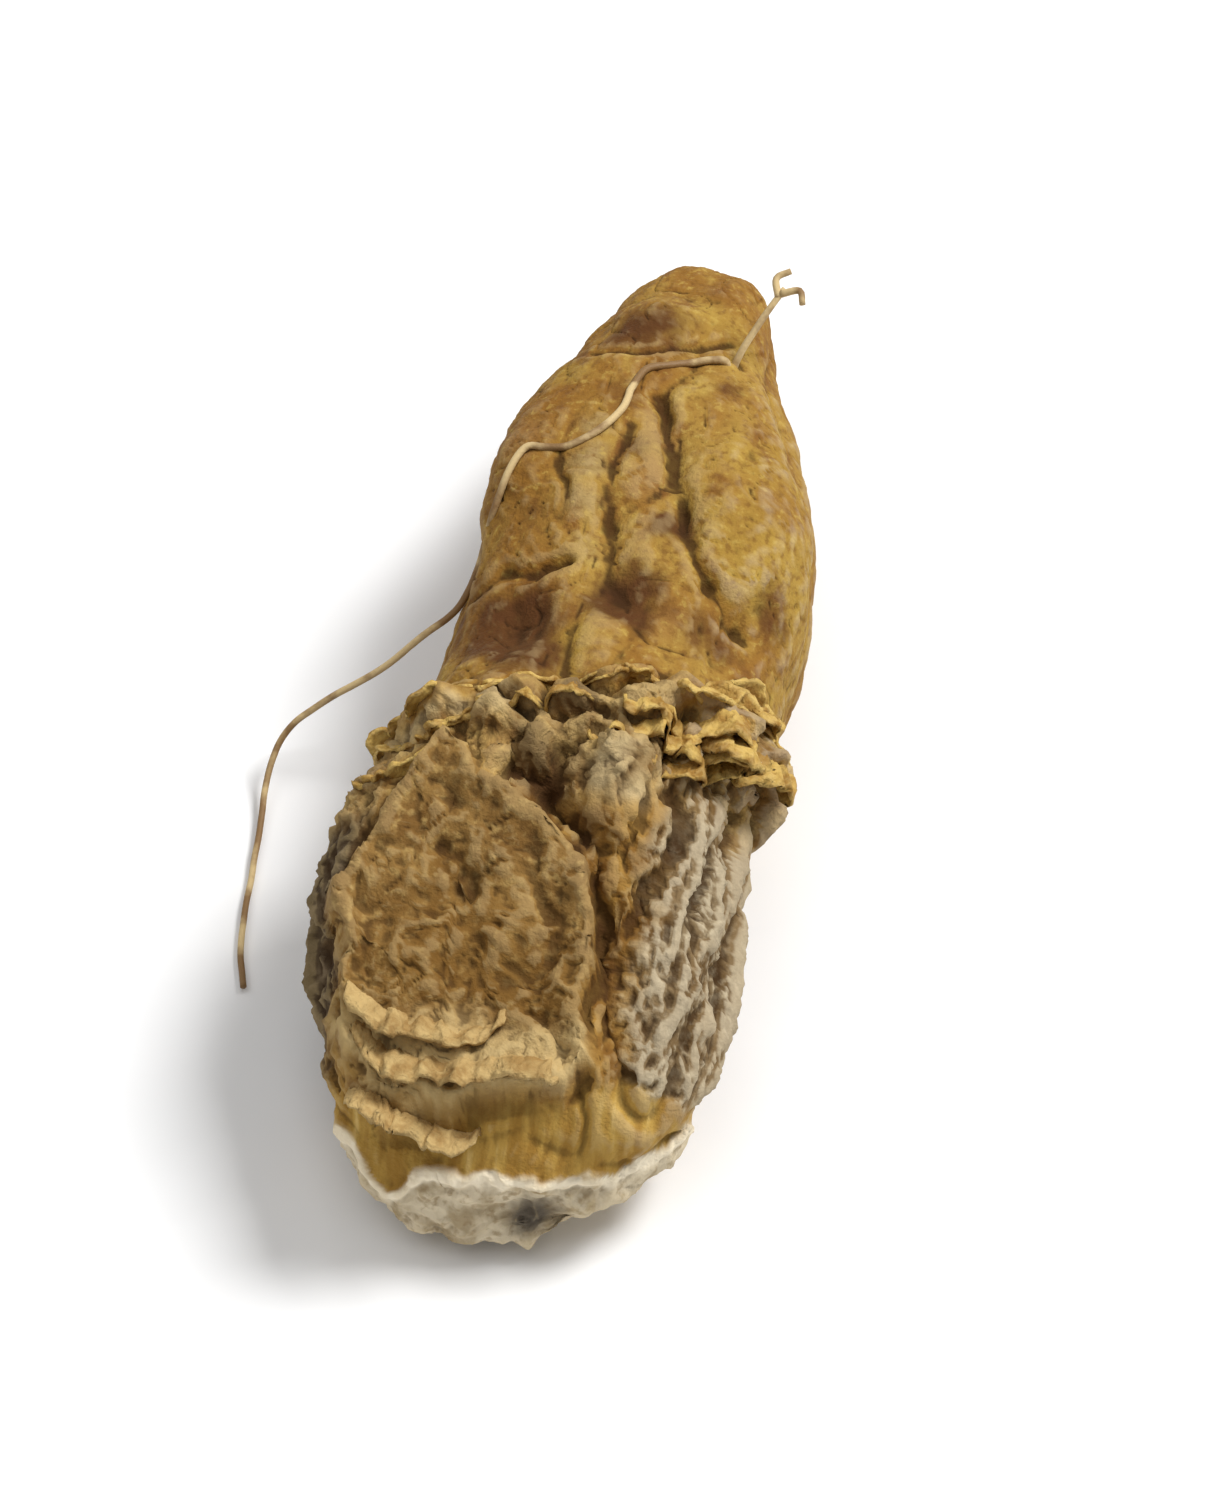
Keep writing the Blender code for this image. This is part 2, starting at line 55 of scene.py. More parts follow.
# The root's sections. Each row is, in millimetres: distance from the cut end, middle in X, half
# the width, height of the underside, height of the widest level, height of the upper side.
SECTIONS = np.array([
    (0.0, -1.0, 3.4, 0.6, 3.0, 5.2),
    (1.5, -0.9, 4.9, 0.5, 3.8, 6.9),
    (3.0, -0.6, 5.8, 0.4, 4.3, 7.9),
    (6.0, -0.4, 6.8, 0.0, 4.7, 9.3),
    (9.0, -0.7, 7.4, -0.2, 4.9, 10.5),
    (12.0, -0.8, 7.4, -0.3, 5.3, 11.4),
    (15.5, -0.35, 6.4, -0.3, 5.8, 12.1),
    (18.0, 0.1, 6.2, -0.3, 6.0, 12.2),
    (20.5, 0.3, 6.5, -0.3, 6.0, 11.7),
    (23.0, 0.6, 6.5, -0.3, 6.0, 11.8),
    (26.0, 0.8, 6.5, -0.2, 6.1, 12.0),
    (29.0, 0.6, 6.3, 0.1, 6.2, 12.0),
    (32.0, 0.3, 5.8, 0.7, 6.3, 11.8),
    (35.0, 0.1, 5.1, 1.5, 6.6, 11.4),
    (38.0, 0.2, 4.0, 2.5, 6.8, 10.6),
    (40.0, 0.5, 3.4, 3.2, 6.9, 10.0),
]) * MM
# Below 1 squares the shoulders of a section's upper half. The lower half is an ellipse.
SHOULDER_POWER = 0.82
TIP_STARTS = 39.0 * MM
CUT_RIM = 0.9 * MM
# How far the cut face leans back for each metre of height, and how soon the lean fades out.
CUT_LEAN = 0.27
CUT_LEAN_FADE = 3.0 * MM

# Swellings of the upper side, in millimetres: X, distance from the cut end, radii, height.
SWELLINGS = np.array([
    (5.1, 27.5, 2.2, 4.4, 0.9),
    (-4.0, 29.9, 1.6, 3.2, 0.8),
    (-0.3, 20.8, 1.1, 1.6, 0.6),
    (-1.6, 28.4, 0.6, 3.0, 0.22),
    (0.7, 28.6, 0.8, 3.2, 0.28),
    (0.9, 22.4, 1.0, 1.1, -0.5),
    (2.2, 26.6, 0.7, 1.0, -0.45),
    (-3.0, 21.2, 1.5, 1.8, -0.8),
    (-0.3, 38.4, 2.4, 1.6, 0.5),
    (4.9, 8.5, 1.1, 5.5, 0.7),
    (2.1, 13.6, 1.0, 1.8, 1.0),
    (6.0, 18.2, 1.5, 1.5, 0.4),
    (-4.0, 16.4, 1.4, 1.1, 0.5),
]) * MM

# Grooves of the upper side, in millimetres: depth, half width, then points of X and distance
# from the cut end.
GROOVES = {
    "between the two strips": (0.16, 0.25, [(-0.6, 31.0), (-0.8, 28.0), (-0.4, 25.6)]),
    "right of the strips": (0.32, 0.32, [(0.3, 33.2), (1.7, 28.7), (2.5, 25.7), (3.5, 23.8)]),
    "left of the strips": (0.12, 0.25, [(-2.6, 31.5), (-2.4, 28.0), (-1.6, 24.9)]),
    "under the left lobe": (0.4, 0.3, [(-5.0, 23.4), (-3.7, 23.7), (-1.8, 23.8)]),
    "under the right lobe": (0.4, 0.3, [(3.6, 23.6), (5.2, 22.6)]),
    "behind the tip": (0.28, 0.3, [(-2.6, 35.3), (-0.4, 35.6), (2.6, 37.6)]),
    "beside the seal": (0.8, 0.35, [(-1.6, 14.0), (1.5, 11.9), (2.5, 9.6), (2.7, 7.4)]),
}

# The outline of the stem scar, or seal, in millimetres: X and distance from the cut end.
SEAL_OUTLINE = np.array([
    (-4.3, 14.4), (-2.8, 13.3), (-0.6, 12.1), (1.3, 10.6), (2.1, 8.9), (2.3, 7.3), (2.2, 5.4),
    (2.9, 3.9), (2.0, 3.0), (-0.1, 2.6), (-2.3, 2.0), (-4.1, 2.1), (-5.0, 2.7), (-6.1, 3.5),
    (-6.8, 4.8), (-6.9, 5.8), (-6.6, 6.9), (-7.2, 8.2), (-7.5, 9.0), (-6.6, 10.2), (-6.0, 11.8),
    (-5.6, 13.4),
]) * MM
# The seal is a plate on a slope: its height at the cut end, its rise along Y and along X.
SEAL_LOW = 6.2 * MM
SEAL_RISE_Y = 0.44
SEAL_RISE_X = 0.07
SEAL_PROUD = 0.45 * MM
# The plate stands at most this far above the skin under it.
SEAL_MOST = 1.2 * MM
# Creases of the seal, like the grooves above.
SEAL_CREASES = {
    "right of the flap": (0.4, 0.3, [(0.4, 5.2), (1.4, 4.4), (2.2, 3.4)]),
    "pits": (0.5, 0.5, [(-3.6, 10.4), (-2.6, 9.4)]),
    "right crack": (0.35, 0.35, [(-0.4, 10.2), (0.6, 8.4)]),
}

# The collar runs askew: its distance from the cut end changes by this much for each metre of X.
COLLAR_AT = 17.6 * MM
COLLAR_SKEW = 0.2
# On top, above the lower and up to the higher of these heights, it comes nearer to the cut end.
COLLAR_SAG = 1.1 * MM
COLLAR_SAG_HEIGHTS = (8.0 * MM, 12.5 * MM)
# The height of the collar's middle, and how far the collar stands out of the skin.
COLLAR_MIDDLE = 6.0 * MM
COLLAR_HEIGHT = 1.6 * MM
# The collar fades out towards the left of these two values of X, and towards the lower of these
# two heights.
COLLAR_FADES = (-9.0 * MM, 1.0 * MM)
COLLAR_FADES_LOW = (4.3 * MM, 6.8 * MM)
# How far the collar slopes down to the older segment, and to the younger one.
COLLAR_SLOPES = (2.1 * MM, 0.8 * MM)

# Strips of torn tissue that stand on the collar: millimetres past its line, first and last angle
# round the root in degrees from +X, height in millimetres, and lean towards the tip.
COLLAR_STRIPS = [
    (1.2, -12, 70, 1.1, -0.5), (0.3, -8, 64, 0.8, -0.4), (1.2, 62, 126, 0.6, -0.4),
    (0.6, 118, 172, 0.5, -0.4),
]
# Flaps folded over the seal's foot: route of X and distance from the cut end, reach, lean.
FOOT_FLAPS = [
    ([(-5.8, 4.9), (-3.8, 3.9), (-1.0, 3.8), (1.9, 4.2)], 0.4, -2.2),
]
# How deep the strips' feet lie under the skin, and how high the strips stay above the surface.
STRIP_SINK = 0.4 * MM
STRIP_CLEARANCE = 0.1 * MM
# The least and the greatest share of its height that a torn strip keeps.
STRIP_TORN = (0.1, 1.15)
# A radius that is about the collar's.
COLLAR_RADIUS = 7.0 * MM
# A distance from the root's middle that is outside the root on every side.
OUTSIDE = 30.0 * MM

# Round scars where rootlets broke off, in millimetres: X, distance from the cut end, and height
# of a point that is near the skin.
ROOTLET_SCARS = np.array([
    (7.2, 11.0, 3.2), (6.4, 25.0, 4.0), (5.0, 33.0, 3.4), (-8.6, 15.0, 3.2), (-6.4, 23.5, 2.6),
    (-6.0, 31.0, 4.4), (3.2, 36.0, 3.0), (-4.8, 6.0, 0.6), (3.6, 17.0, 0.4), (-2.5, 33.5, 0.8),
]) * MM
SCAR_RADIUS = 0.9 * MM
SCAR_HEIGHT = 0.4 * MM

# The rootlet's route, in millimetres: X, distance from the cut end, height of its middle. The
# stretch with no height lies on the root.
ROOTLET_ON_ROOT = [
    (2.4, 35.8), (1.1, 35.3), (-0.4, 34.2), (-0.8, 33.0), (-0.9, 31.6), (-1.6, 30.1),
    (-2.6, 29.3), (-4.1, 29.2), (-4.6, 28.2), (-4.9, 27.2), (-5.3, 26.0), (-5.8, 24.9),
]
ROOTLET_FREE = [
    (-6.9, 24.2, 6.6), (-9.0, 23.4, 4.6), (-12.0, 22.4, 2.2), (-12.8, 20.6, 0.8),
    (-12.6, 18.2, 0.33), (-12.2, 13.4, 0.30), (-11.6, 11.0, 0.30),
]
ROOTLET_BRANCH = [(2.4, 35.8, 8.6), (2.8, 36.2, 10.8), (3.6, 37.5, 12.0), (4.3, 38.4, 12.7)]
# Short curls at the branch's end.
ROOTLET_CURLS = [
    [(4.2, 38.2, 12.6), (4.9, 38.2, 12.9), (5.1, 37.7, 12.7)],
    [(4.1, 38.1, 12.5), (3.9, 38.8, 12.8), (4.4, 39.1, 13.0)],
]
ROOTLET_RADIUS = 0.27 * MM
ROOTLET_STEP = 0.9 * MM

# The grid of the fine skin. Its columns lie closer together on the upper side, and its cells are
# at most about this wide, except on a cliff. The seal rises over the width of its edge.
COLUMN_BIAS = 0.35
FINE_RINGS = 440
FINE_COLUMNS = 218
FINE_CELL = 0.20 * MM
FINE_SEAL_EDGE = 0.45 * MM

BODY = "root"

# The edges between the kinds of surface are ragged: the size of their waves and how far they reach.
RAGGED_WAVES = [(1.6 * MM, 0.6 * MM), (0.7 * MM, 0.25 * MM)]
# The way up the slanting end, as shares of the distance from the cut end, of the height and of the
# ragged waves. Then the finer waves of the starch's edge: size and reach.
UP_END = (0.77, 0.64, 0.6)
STARCH_WAVES = (0.4 * MM, 0.14 * MM)
# How high the starch reaches up the slanting end in its middle, and its rise at the two edges.
STARCH_TOP = 4.1 * MM
STARCH_MIDDLE = -0.8 * MM
STARCH_RISE = 2.4 * MM
STARCH_HALF_WIDTH = 6.8 * MM
STARCH_EDGE = 0.12 * MM
# Where the bevel dips into the starch: X, half width, depth.
STARCH_DIP = (-4.0 * MM, 0.9 * MM, 1.3 * MM)
# The rim is the starch's own white, painted brighter still as a highlight.
# The starch's white rim: how far below the edge it lies, its width, and its height in millimetres.
RIM_BELOW = 0.2 * MM
RIM_WIDTH = 0.35 * MM
RIM_HEIGHT = 0.22
# The pit of the cut face, whose grey is painted shade: X, height and radius, and its depth in millimetres.
STARCH_PIT = (1.3 * MM, 2.4 * MM, 1.2 * MM)
STARCH_PIT_DEPTH = 0.7
# How far the bevel reaches above the starch, and a tongue that reaches further: X, half width, reach.
BEVEL_HEIGHT = 3.0 * MM
BEVEL_TONGUE = (4.4 * MM, 1.8 * MM, 1.7 * MM)
BEVEL_EDGE = 0.3 * MM

# Where the other kinds of surface begin and where they are full.
BUD_PAST_COLLAR = (0.0, 0.8 * MM)
FRILL_PAST_COLLAR = (-4.6 * MM, -2.4 * MM)
FRILL_HEIGHTS = (3.5 * MM, 6.5 * MM)
PALE_ACROSS = (3.2 * MM, 4.6 * MM)
PALE_HEIGHTS = (1.5 * MM, 5.0 * MM)
LEFT_ACROSS = (-5.8 * MM, -7.2 * MM)
FOOT_FROM_CUT = (5.8 * MM, 3.8 * MM)
LOBE_ACROSS = (-0.6 * MM, -2.6 * MM)
# The share of the bark that a full frill takes away.
FRILL_TAKES = 0.6

# Round patches of the upper side. Each row is, in millimetres: X, distance from the cut end and
# radius. Its last number is its strength.
PATCHES = {
    # Purple-brown patches of the bud, and its tinted areas; those low on its left are also painted shade.
    "blotch": [
        (0.9, 22.4, 1.5, 1.1), (-3.2, 21.0, 2.0, 1.2), (-2.4, 19.4, 1.5, 1.2), (-5.2, 23.0, 1.3, 0.6),
        (-0.8, 37.0, 1.7, 0.9), (1.9, 26.0, 0.8, 0.9), (0.5, 29.8, 1.2, 0.45), (4.2, 21.4, 1.2, 0.6),
        (-1.0, 32.8, 1.0, 0.5), (-3.6, 35.6, 1.0, 0.5), (6.0, 23.6, 1.0, 0.5), (2.6, 34.0, 0.9, 0.5),
        (-3.4, 26.4, 0.9, 0.5),
    ],
    "yellow": [
        (5.2, 25.4, 2.6, 1.0), (5.0, 30.0, 2.2, 0.8), (-3.6, 34.3, 1.1, 0.9), (-0.8, 20.0, 1.3, 0.8),
        (1.6, 38.6, 1.6, 0.6), (-5.8, 19.4, 1.4, 0.7),
    ],
    "greyish": [
        (-1.7, 30.6, 0.8, 0.7), (-1.6, 28.7, 0.9, 0.9), (-1.5, 26.6, 0.9, 0.7), (-1.0, 24.6, 0.8, 0.5),
    ],
    "pinkish": [
        (0.7, 30.6, 1.0, 0.7), (0.9, 28.2, 1.0, 0.8), (-4.6, 30.2, 1.6, 0.6), (2.6, 21.6, 1.3, 0.5),
    ],
    # Darker areas of the seal, and its pits, whose dark colour is painted shade.
    "dark seal": [(-2.2, 6.6, 3.2, 1.0), (0.4, 6.0, 2.4, 0.9), (-3.6, 9.6, 1.4, 0.8)],
    "pits": [
        (-3.9, 10.7, 0.38, 1.0), (-3.3, 10.0, 0.38, 1.0), (-2.5, 9.2, 0.42, 1.0), (-2.0, 9.9, 0.36, 0.9),
        (-5.6, 10.3, 0.35, 0.8), (0.8, 8.9, 0.35, 0.7), (-5.4, 7.2, 0.32, 0.7), (-0.4, 7.6, 0.32, 0.6),
    ],
    # Pale fluffy tissue below the collar, and painted shade, brown, in its hollows.
    "fluff": [
        (-3.7, 16.8, 1.5, 0.8), (-2.3, 16.3, 1.1, 1.0), (2.1, 13.8, 1.3, 0.9), (-5.6, 16.0, 1.2, 0.7),
    ],
    "shade": [
        (-0.2, 16.8, 1.1, 1.2), (-3.5, 18.2, 1.0, 1.0), (1.2, 11.6, 0.9, 0.8), (3.4, 18.2, 0.9, 0.7),
        (-0.8, 13.7, 1.0, 1.2), (-1.2, 14.8, 0.8, 0.8),
    ],
}
# The patches fade out towards the lower of these two heights.
PATCH_HEIGHTS = (3.0 * MM, 7.0 * MM)
# How far a patch's edge wavers, and the size of its waves.
PATCH_WAVER = 0.5 * MM
PATCH_WAVES = 1.2 * MM
# The fine relief is warped: size and reach of the warp. Lines along the root get less of it and
# swirls get more, in these shares.
WARP = (1.8 * MM, 0.6 * MM)
LINED = 0.3
SWIRLED = 1.5
# How deep the seal's pits are, and how high the left flank's lumps are, in millimetres.
SEAL_PIT_DEPTH = 0.16
LEFT_LUMPS = 0.22

# How strongly the painted shade of creases and hollows darkens each kind of surface, where it isn't fully.
CREASE_SHADE_SHOWS = {"starch": 0.2, "seal": 0.7, "bevel": 0.5, "bark": 0.85, "frill": 0.75}
# For creases and for hollows, which get painted shade: how many cells wide their surroundings are on
# each side, and the depth at which the painted shade is darkest.
CREASE_SCALE = (3, 0.08 * MM)
HOLLOW_SCALE = (14, 0.6 * MM)

# Smaller strips, like the collar's and the foot's, that only the fine model has.
FINE_STRIPS = [
    (-0.4, 6, 84, 0.55, -1.8), (-0.2, 84, 134, 0.25, -0.9), (-0.2, 118, 184, 0.35, -0.4),
    (-1.4, 30, 70, 0.55, -1.8), (0.8, 170, 226, 0.25, -0.3), (-1.8, 124, 166, 0.4, -0.6),
    (0.8, 24, 52, 0.55, 0.7), (-0.2, 44, 76, 0.45, -1.6), (1.6, 0, 50, 0.5, 0.4),
    (1.3, 76, 118, 0.35, -0.5), (0.5, 8, 62, 0.7, -1.8), (-0.9, 14, 56, 0.5, -2.0),
]
FINE_FLAPS = [
    ([(-6.2, 6.0), (-4.6, 5.1), (-2.2, 5.0), (-0.4, 5.6)], 0.25, -2.2),
    ([(-5.6, 2.9), (-4.0, 2.2), (-2.0, 2.0), (-0.8, 2.3)], 0.3, -2.0),
]
FINE_STEP = 0.09 * MM
FINE_ROWS = 7
FINE_THICKNESS = 0.26 * MM
# The fine crumpling of the torn tissue: size and depth.
TISSUE_CRUMPLES = [(0.8 * MM, 0.18 * MM), (0.35 * MM, 0.09 * MM)]

# The fine rootlet: its thickness as a share of the CAD rootlet's, its grid, and the size and depth
# of its small kinks.
FINE_ROOTLET = 0.54
FINE_ROOTLET_STEP = 0.15 * MM
FINE_ROOTLET_SIDES = 10
ROOTLET_KINKS = (2.0 * MM, 0.05 * MM)

# The colours of each surface, as red, green and blue: a base colour, and layers over it. A layer
# has the pattern or zone that places it, where that is empty and where it is full, the layer's
# greatest share, and its colour.
BUD = (0.26, 0.125, 0.024), [
    ("broad", 0.38, 0.62, 1.0, (0.36, 0.215, 0.045)),
    ("patch", 0.50, 0.85, 1.0, (0.44, 0.29, 0.068)),
    ("lobe", 0.0, 1.0, 0.6, (0.235, 0.105, 0.018)),
    ("yellow", 0.1, 0.8, 0.6, (0.38, 0.24, 0.045)),
    ("greyish", 0.1, 0.8, 0.75, (0.30, 0.205, 0.082)),
    ("pinkish", 0.1, 0.8, 0.65, (0.29, 0.148, 0.050)),
    ("patch", 0.48, 0.25, 1.0, (0.20, 0.085, 0.018)),
    ("fine", 0.50, 0.30, 0.6, (0.16, 0.07, 0.016)),
    ("fine", 0.55, 0.72, 0.5, (0.50, 0.345, 0.085)),
    # Purple-brown blotches, which low on the bud's left are also painted shade.
    ("ragged blotch", 0.10, 0.85, 0.9, (0.082, 0.030, 0.011)),
]
SEAL = (0.180, 0.092, 0.024), [
    ("patch", 0.35, 0.65, 1.0, (0.27, 0.153, 0.045)),
    ("fine", 0.48, 0.75, 1.0, (0.39, 0.25, 0.085)),
    # Painted shade in the seal's pits.
    ("pits", 0.35, 0.9, 0.6, (0.055, 0.028, 0.010)),
    ("dark seal", 0.1, 0.8, 0.5, (0.17, 0.080, 0.014)),
    ("foot", 0.0, 1.0, 0.8, (0.56, 0.405, 0.18)),
]
BARK = (0.19, 0.088, 0.018), [("patch", 0.35, 0.62, 1.0, (0.38, 0.215, 0.052))]
PALE_BARK = (0.105, 0.061, 0.024), [
    ("patch", 0.34, 0.60, 1.0, (0.22, 0.158, 0.086)),
    ("fine", 0.45, 0.70, 1.0, (0.37, 0.295, 0.185)),
    ("broad", 0.56, 0.40, 0.45, (0.20, 0.115, 0.040)),
]
# The left flank: its own grey crust with pale flakes, darkened further with painted shade.
LEFT_BARK_AND_SHADE = (0.060, 0.036, 0.017), [("patch", 0.40, 0.70, 1.0, (0.20, 0.145, 0.085))]
FRILL = (0.25, 0.132, 0.036), [
    ("patch", 0.38, 0.62, 1.0, (0.56, 0.37, 0.125)),
    ("broad", 0.55, 0.40, 0.5, (0.25, 0.17, 0.08)),
    ("fine", 0.50, 0.32, 0.6, (0.17, 0.090, 0.028)),
]
FLUFF = (0.20, 0.130, 0.055), [("patch", 0.35, 0.62, 1.0, (0.50, 0.385, 0.21))]
BEVEL = (0.33, 0.18, 0.036), [
    ("streak", 0.35, 0.62, 1.0, (0.47, 0.29, 0.068)),
    ("streak", 0.58, 0.80, 1.0, (0.66, 0.47, 0.17)),
]
STARCH = (0.40, 0.31, 0.185), [
    ("patch", 0.34, 0.62, 1.0, (0.68, 0.58, 0.41)),
    ("fine", 0.50, 0.30, 0.6, (0.30, 0.205, 0.10)),
    # The rim's own white, brighter still with a painted highlight.
    ("rim", 0.0, 0.7, 1.0, (0.92, 0.81, 0.61)),
    # Painted shade in the cut face's pit.
    ("pit", 0.2, 0.9, 0.9, (0.085, 0.07, 0.055)),
]
TISSUE = (0.34, 0.185, 0.042), [
    ("patch", 0.38, 0.60, 1.0, (0.59, 0.40, 0.115)),
    ("fine", 0.50, 0.30, 0.3, (0.20, 0.100, 0.024)),
]
FLAP = (0.33, 0.20, 0.070), [("patch", 0.35, 0.65, 1.0, (0.52, 0.36, 0.150))]
ROOTLET = (0.22, 0.12, 0.04), [("patch", 0.40, 0.60, 1.0, (0.58, 0.43, 0.21))]
# Painted shade: brown for the shade patches, and near-black in creases and in hollows.
SHADE_BROWN = (0.095, 0.046, 0.016)
CREASE_PAINTED_SHADE = (0.035, 0.015, 0.005)
HOLLOW_PAINTED_SHADE = (0.055, 0.022, 0.008)
# Painted highlights on crests: tan, and cream on the pale bark, whose ridges are also paler of their own.
CREST_PAINTED_HIGHLIGHT = (0.60, 0.45, 0.22)
CREST_CREAM_AND_PAINTED_HIGHLIGHT = (0.60, 0.51, 0.355)
TISSUE_EDGE = (0.62, 0.46, 0.20)
FLOOR_COLOURS = ((0.86, 0.86, 0.86), (0.88, 0.88, 0.88))
# How faintly the dry surfaces reflect, and the skin's sheen.
SKIN_GLOSS = {
    "Specular IOR Level": 0.06,
    "Sheen Weight": 0.04,
    "Sheen Roughness": 0.5,
    "Sheen Tint": (1.0, 0.78, 0.42, 1.0),
}
TISSUE_GLOSS = {"Specular IOR Level": 0.08}
# The places of the colours among a mix node's inputs, and of the mixed colour among its outputs.
MIX_COLOURS = (6, 7)
MIX_RESULT = 2

# Half the floor's side, in metres. Then each light's place and size, in metres, and its power, and
# how bright the even surroundings are.
FLOOR_REACH = 2.0
LIGHTS = {
    "key": ((0.22, 0.12, 0.38), 0.16, 2.0),
    "overhead": ((-0.12, -0.05, 0.50), 0.50, 0.9),
}
SURROUNDINGS = 0.32

# The camera's angles, its lens and sensor in millimetres, its range in metres, and the height and
# the middle of its view.
CAMERA_AZIMUTH = radians(10.0)
CAMERA_ELEVATION = radians(50.0)
CAMERA_LENS = 120.0
CAMERA_SENSOR = 36.0
CAMERA_RANGE = (0.01, 10.0)
VIEW_HEIGHT = 56.0 * MM
VIEW_CENTRE = Vector((0.4, 1.5, 5.0)) * MM


def smooth_step(low, high, value):
    """0 on low's side, 1 past high, and an even curve between."""
    share = np.clip((value - low) / (high - low), 0.0, 1.0)
    return share * share * (3.0 - 2.0 * share)


def noise(points, size, seed):
    """Smooth noise from about -1 to 1, whose lumps are about size across along each axis."""
    rng = np.random.default_rng(seed)
    order = rng.permutation(256)
    slopes = rng.normal(size=(256, 3))
    slopes /= np.linalg.norm(slopes, axis=1, keepdims=True)
    scaled = points / np.asarray(size)
    cell = np.floor(scaled).astype(int)
    inside = scaled - cell
    fade = inside**3 * (inside * (inside * 6.0 - 15.0) + 10.0)
    total = np.zeros(scaled.shape[:-1])
    for corner in product((0, 1), repeat=3):
        near = (cell + corner) & 255
        pick = order[(order[(order[near[..., 0]] + near[..., 1]) & 255] + near[..., 2]) & 255]
        weight = np.where(corner, fade, 1.0 - fade).prod(axis=-1)
        total += weight * (slopes[pick] * (inside - corner)).sum(axis=-1)
    return 1.6 * total


def folds(points, size, seed):
    """Rounded folds from 0 to about 1 with narrow creases at 0, as on shrunken skin."""
    return np.minimum(np.abs(noise(points, size, seed)) * 2.2, 1.0)


def section_at(along):
    """Middle in X, half width, underside, widest level and upper side at each distance."""
    at, values = SECTIONS[:, 0], SECTIONS[:, 1:]
    slope = np.gradient(values, at, axis=0)
    row = np.clip(np.searchsorted(at, along) - 1, 0, len(at) - 2)
    gap = at[row + 1] - at[row]
    t = np.clip((along - at[row]) / gap, 0.0, 1.0)[..., None]
    gap = gap[..., None]
    start = values[row] * (1 + 2 * t) * (1 - t) ** 2 + slope[row] * gap * t * (1 - t) ** 2
    end = values[row + 1] * t**2 * (3 - 2 * t) - slope[row + 1] * gap * t**2 * (1 - t)
    return np.moveaxis(start + end, -1, 0)


def rings_along(rings):
    """Distance from the cut end and share of the full section for each ring, cut end first."""
    on_cut = rings // 8
    on_tip = rings // 7
    cut_share = np.arange(1, on_cut + 1) / on_cut
    cut = np.stack([CUT_RIM * cut_share**6, cut_share])
    along = np.linspace(CUT_RIM, TIP_STARTS, rings - on_cut - on_tip + 1)[1:]
    side = np.stack([along, np.ones_like(along)])
    turn = np.linspace(0.0, pi / 2, on_tip + 2)[1:-1]
    tip = np.stack([TIP_STARTS + (LENGTH - TIP_STARTS) * np.sin(turn), np.cos(turn) ** 0.9])
    return np.concatenate([cut, side, tip], axis=1)


def plain_skin(rings, columns):
    """The root's smooth skin as a grid of points, one row for each ring."""
    along, share = rings_along(rings)
    middle, half, under, level, upper = section_at(along)
    turn = np.arange(columns) * 2 * pi / columns
    turn = turn + COLUMN_BIAS * np.cos(turn)
    power = np.where(np.sin(turn) > 0, SHOULDER_POWER, 1.0)
    across = np.sign(np.cos(turn)) * np.abs(np.cos(turn)) ** power
    up = np.sign(np.sin(turn)) * np.abs(np.sin(turn)) ** power
    reach = np.where(up[None, :] > 0, (upper - level)[:, None], (level - under)[:, None])
    x = middle[:, None] + (half * share)[:, None] * across
    z = level[:, None] + share[:, None] * up * reach
    lean = CUT_LEAN * z * np.exp(-along / CUT_LEAN_FADE)[:, None]
    return np.stack([x, along[:, None] + lean, z], axis=-1)


def grid_normals(grid):
    """Outward unit normals of a grid of rings."""
    around = np.roll(grid, -1, axis=1) - np.roll(grid, 1, axis=1)
    forward = np.gradient(grid, axis=0)
    normal = np.cross(forward, around)
    return normal / np.maximum(np.linalg.norm(normal, axis=-1, keepdims=True), 1e-12)


def distance_to_line(x, along, line):
    """Distance in the X-Y plane from each point to a broken line."""
    best = np.full(x.shape, np.inf)
    for (ax, ay), (bx, by) in zip(line[:-1], line[1:]):
        dx, dy = bx - ax, by - ay
        t = np.clip(((x - ax) * dx + (along - ay) * dy) / (dx * dx + dy * dy), 0.0, 1.0)
        best = np.minimum(best, np.hypot(x - ax - t * dx, along - ay - t * dy))
    return best


def depth_in_seal(x, along):
    """How far each point is inside the seal's outline, seen from above. It is negative outside."""
    line = np.vstack([SEAL_OUTLINE, SEAL_OUTLINE[:1]])
    inside = np.zeros(x.shape, bool)
    for (ax, ay), (bx, by) in zip(line[:-1], line[1:]):
        if ay != by:
            crosses = (ay > along) != (by > along)
            inside ^= crosses & (x < ax + (along - ay) * (bx - ax) / (by - ay))
    distance = distance_to_line(x, along, line)
    return np.where(inside, distance, -distance)


def carve_lines(skin, lines):
    """Heights, below zero, of a set of grooves, which waver and are deeper in some places."""
    x = skin[..., 0] + 0.4 * MM * noise(skin, 1.8 * MM, 16)
    along = skin[..., 1] + 0.4 * MM * noise(skin, 1.8 * MM, 17)
    uneven = 1.0 + 0.7 * noise(skin, 2.2 * MM, 18)
    height = np.zeros(x.shape)
    for depth, half_width, line in lines.values():
        far = distance_to_line(x, along, np.array(line) * MM)
        height -= depth * MM * uneven * np.exp(-((far / (half_width * MM)) ** 2))
    return height


def carve_upper_side(skin, normal):
    """Heights of the swellings and grooves, which fade out down the sides."""
    x, along = skin[..., 0], skin[..., 1]
    height = carve_lines(skin, GROOVES)
    for at_x, at_along, radius_x, radius_along, rise in SWELLINGS:
        far = ((x - at_x) / radius_x) ** 2 + ((along - at_along) / radius_along) ** 2
        height += rise * np.exp(-far)
    return height * smooth_step(0.05, 0.5, normal[..., 2])


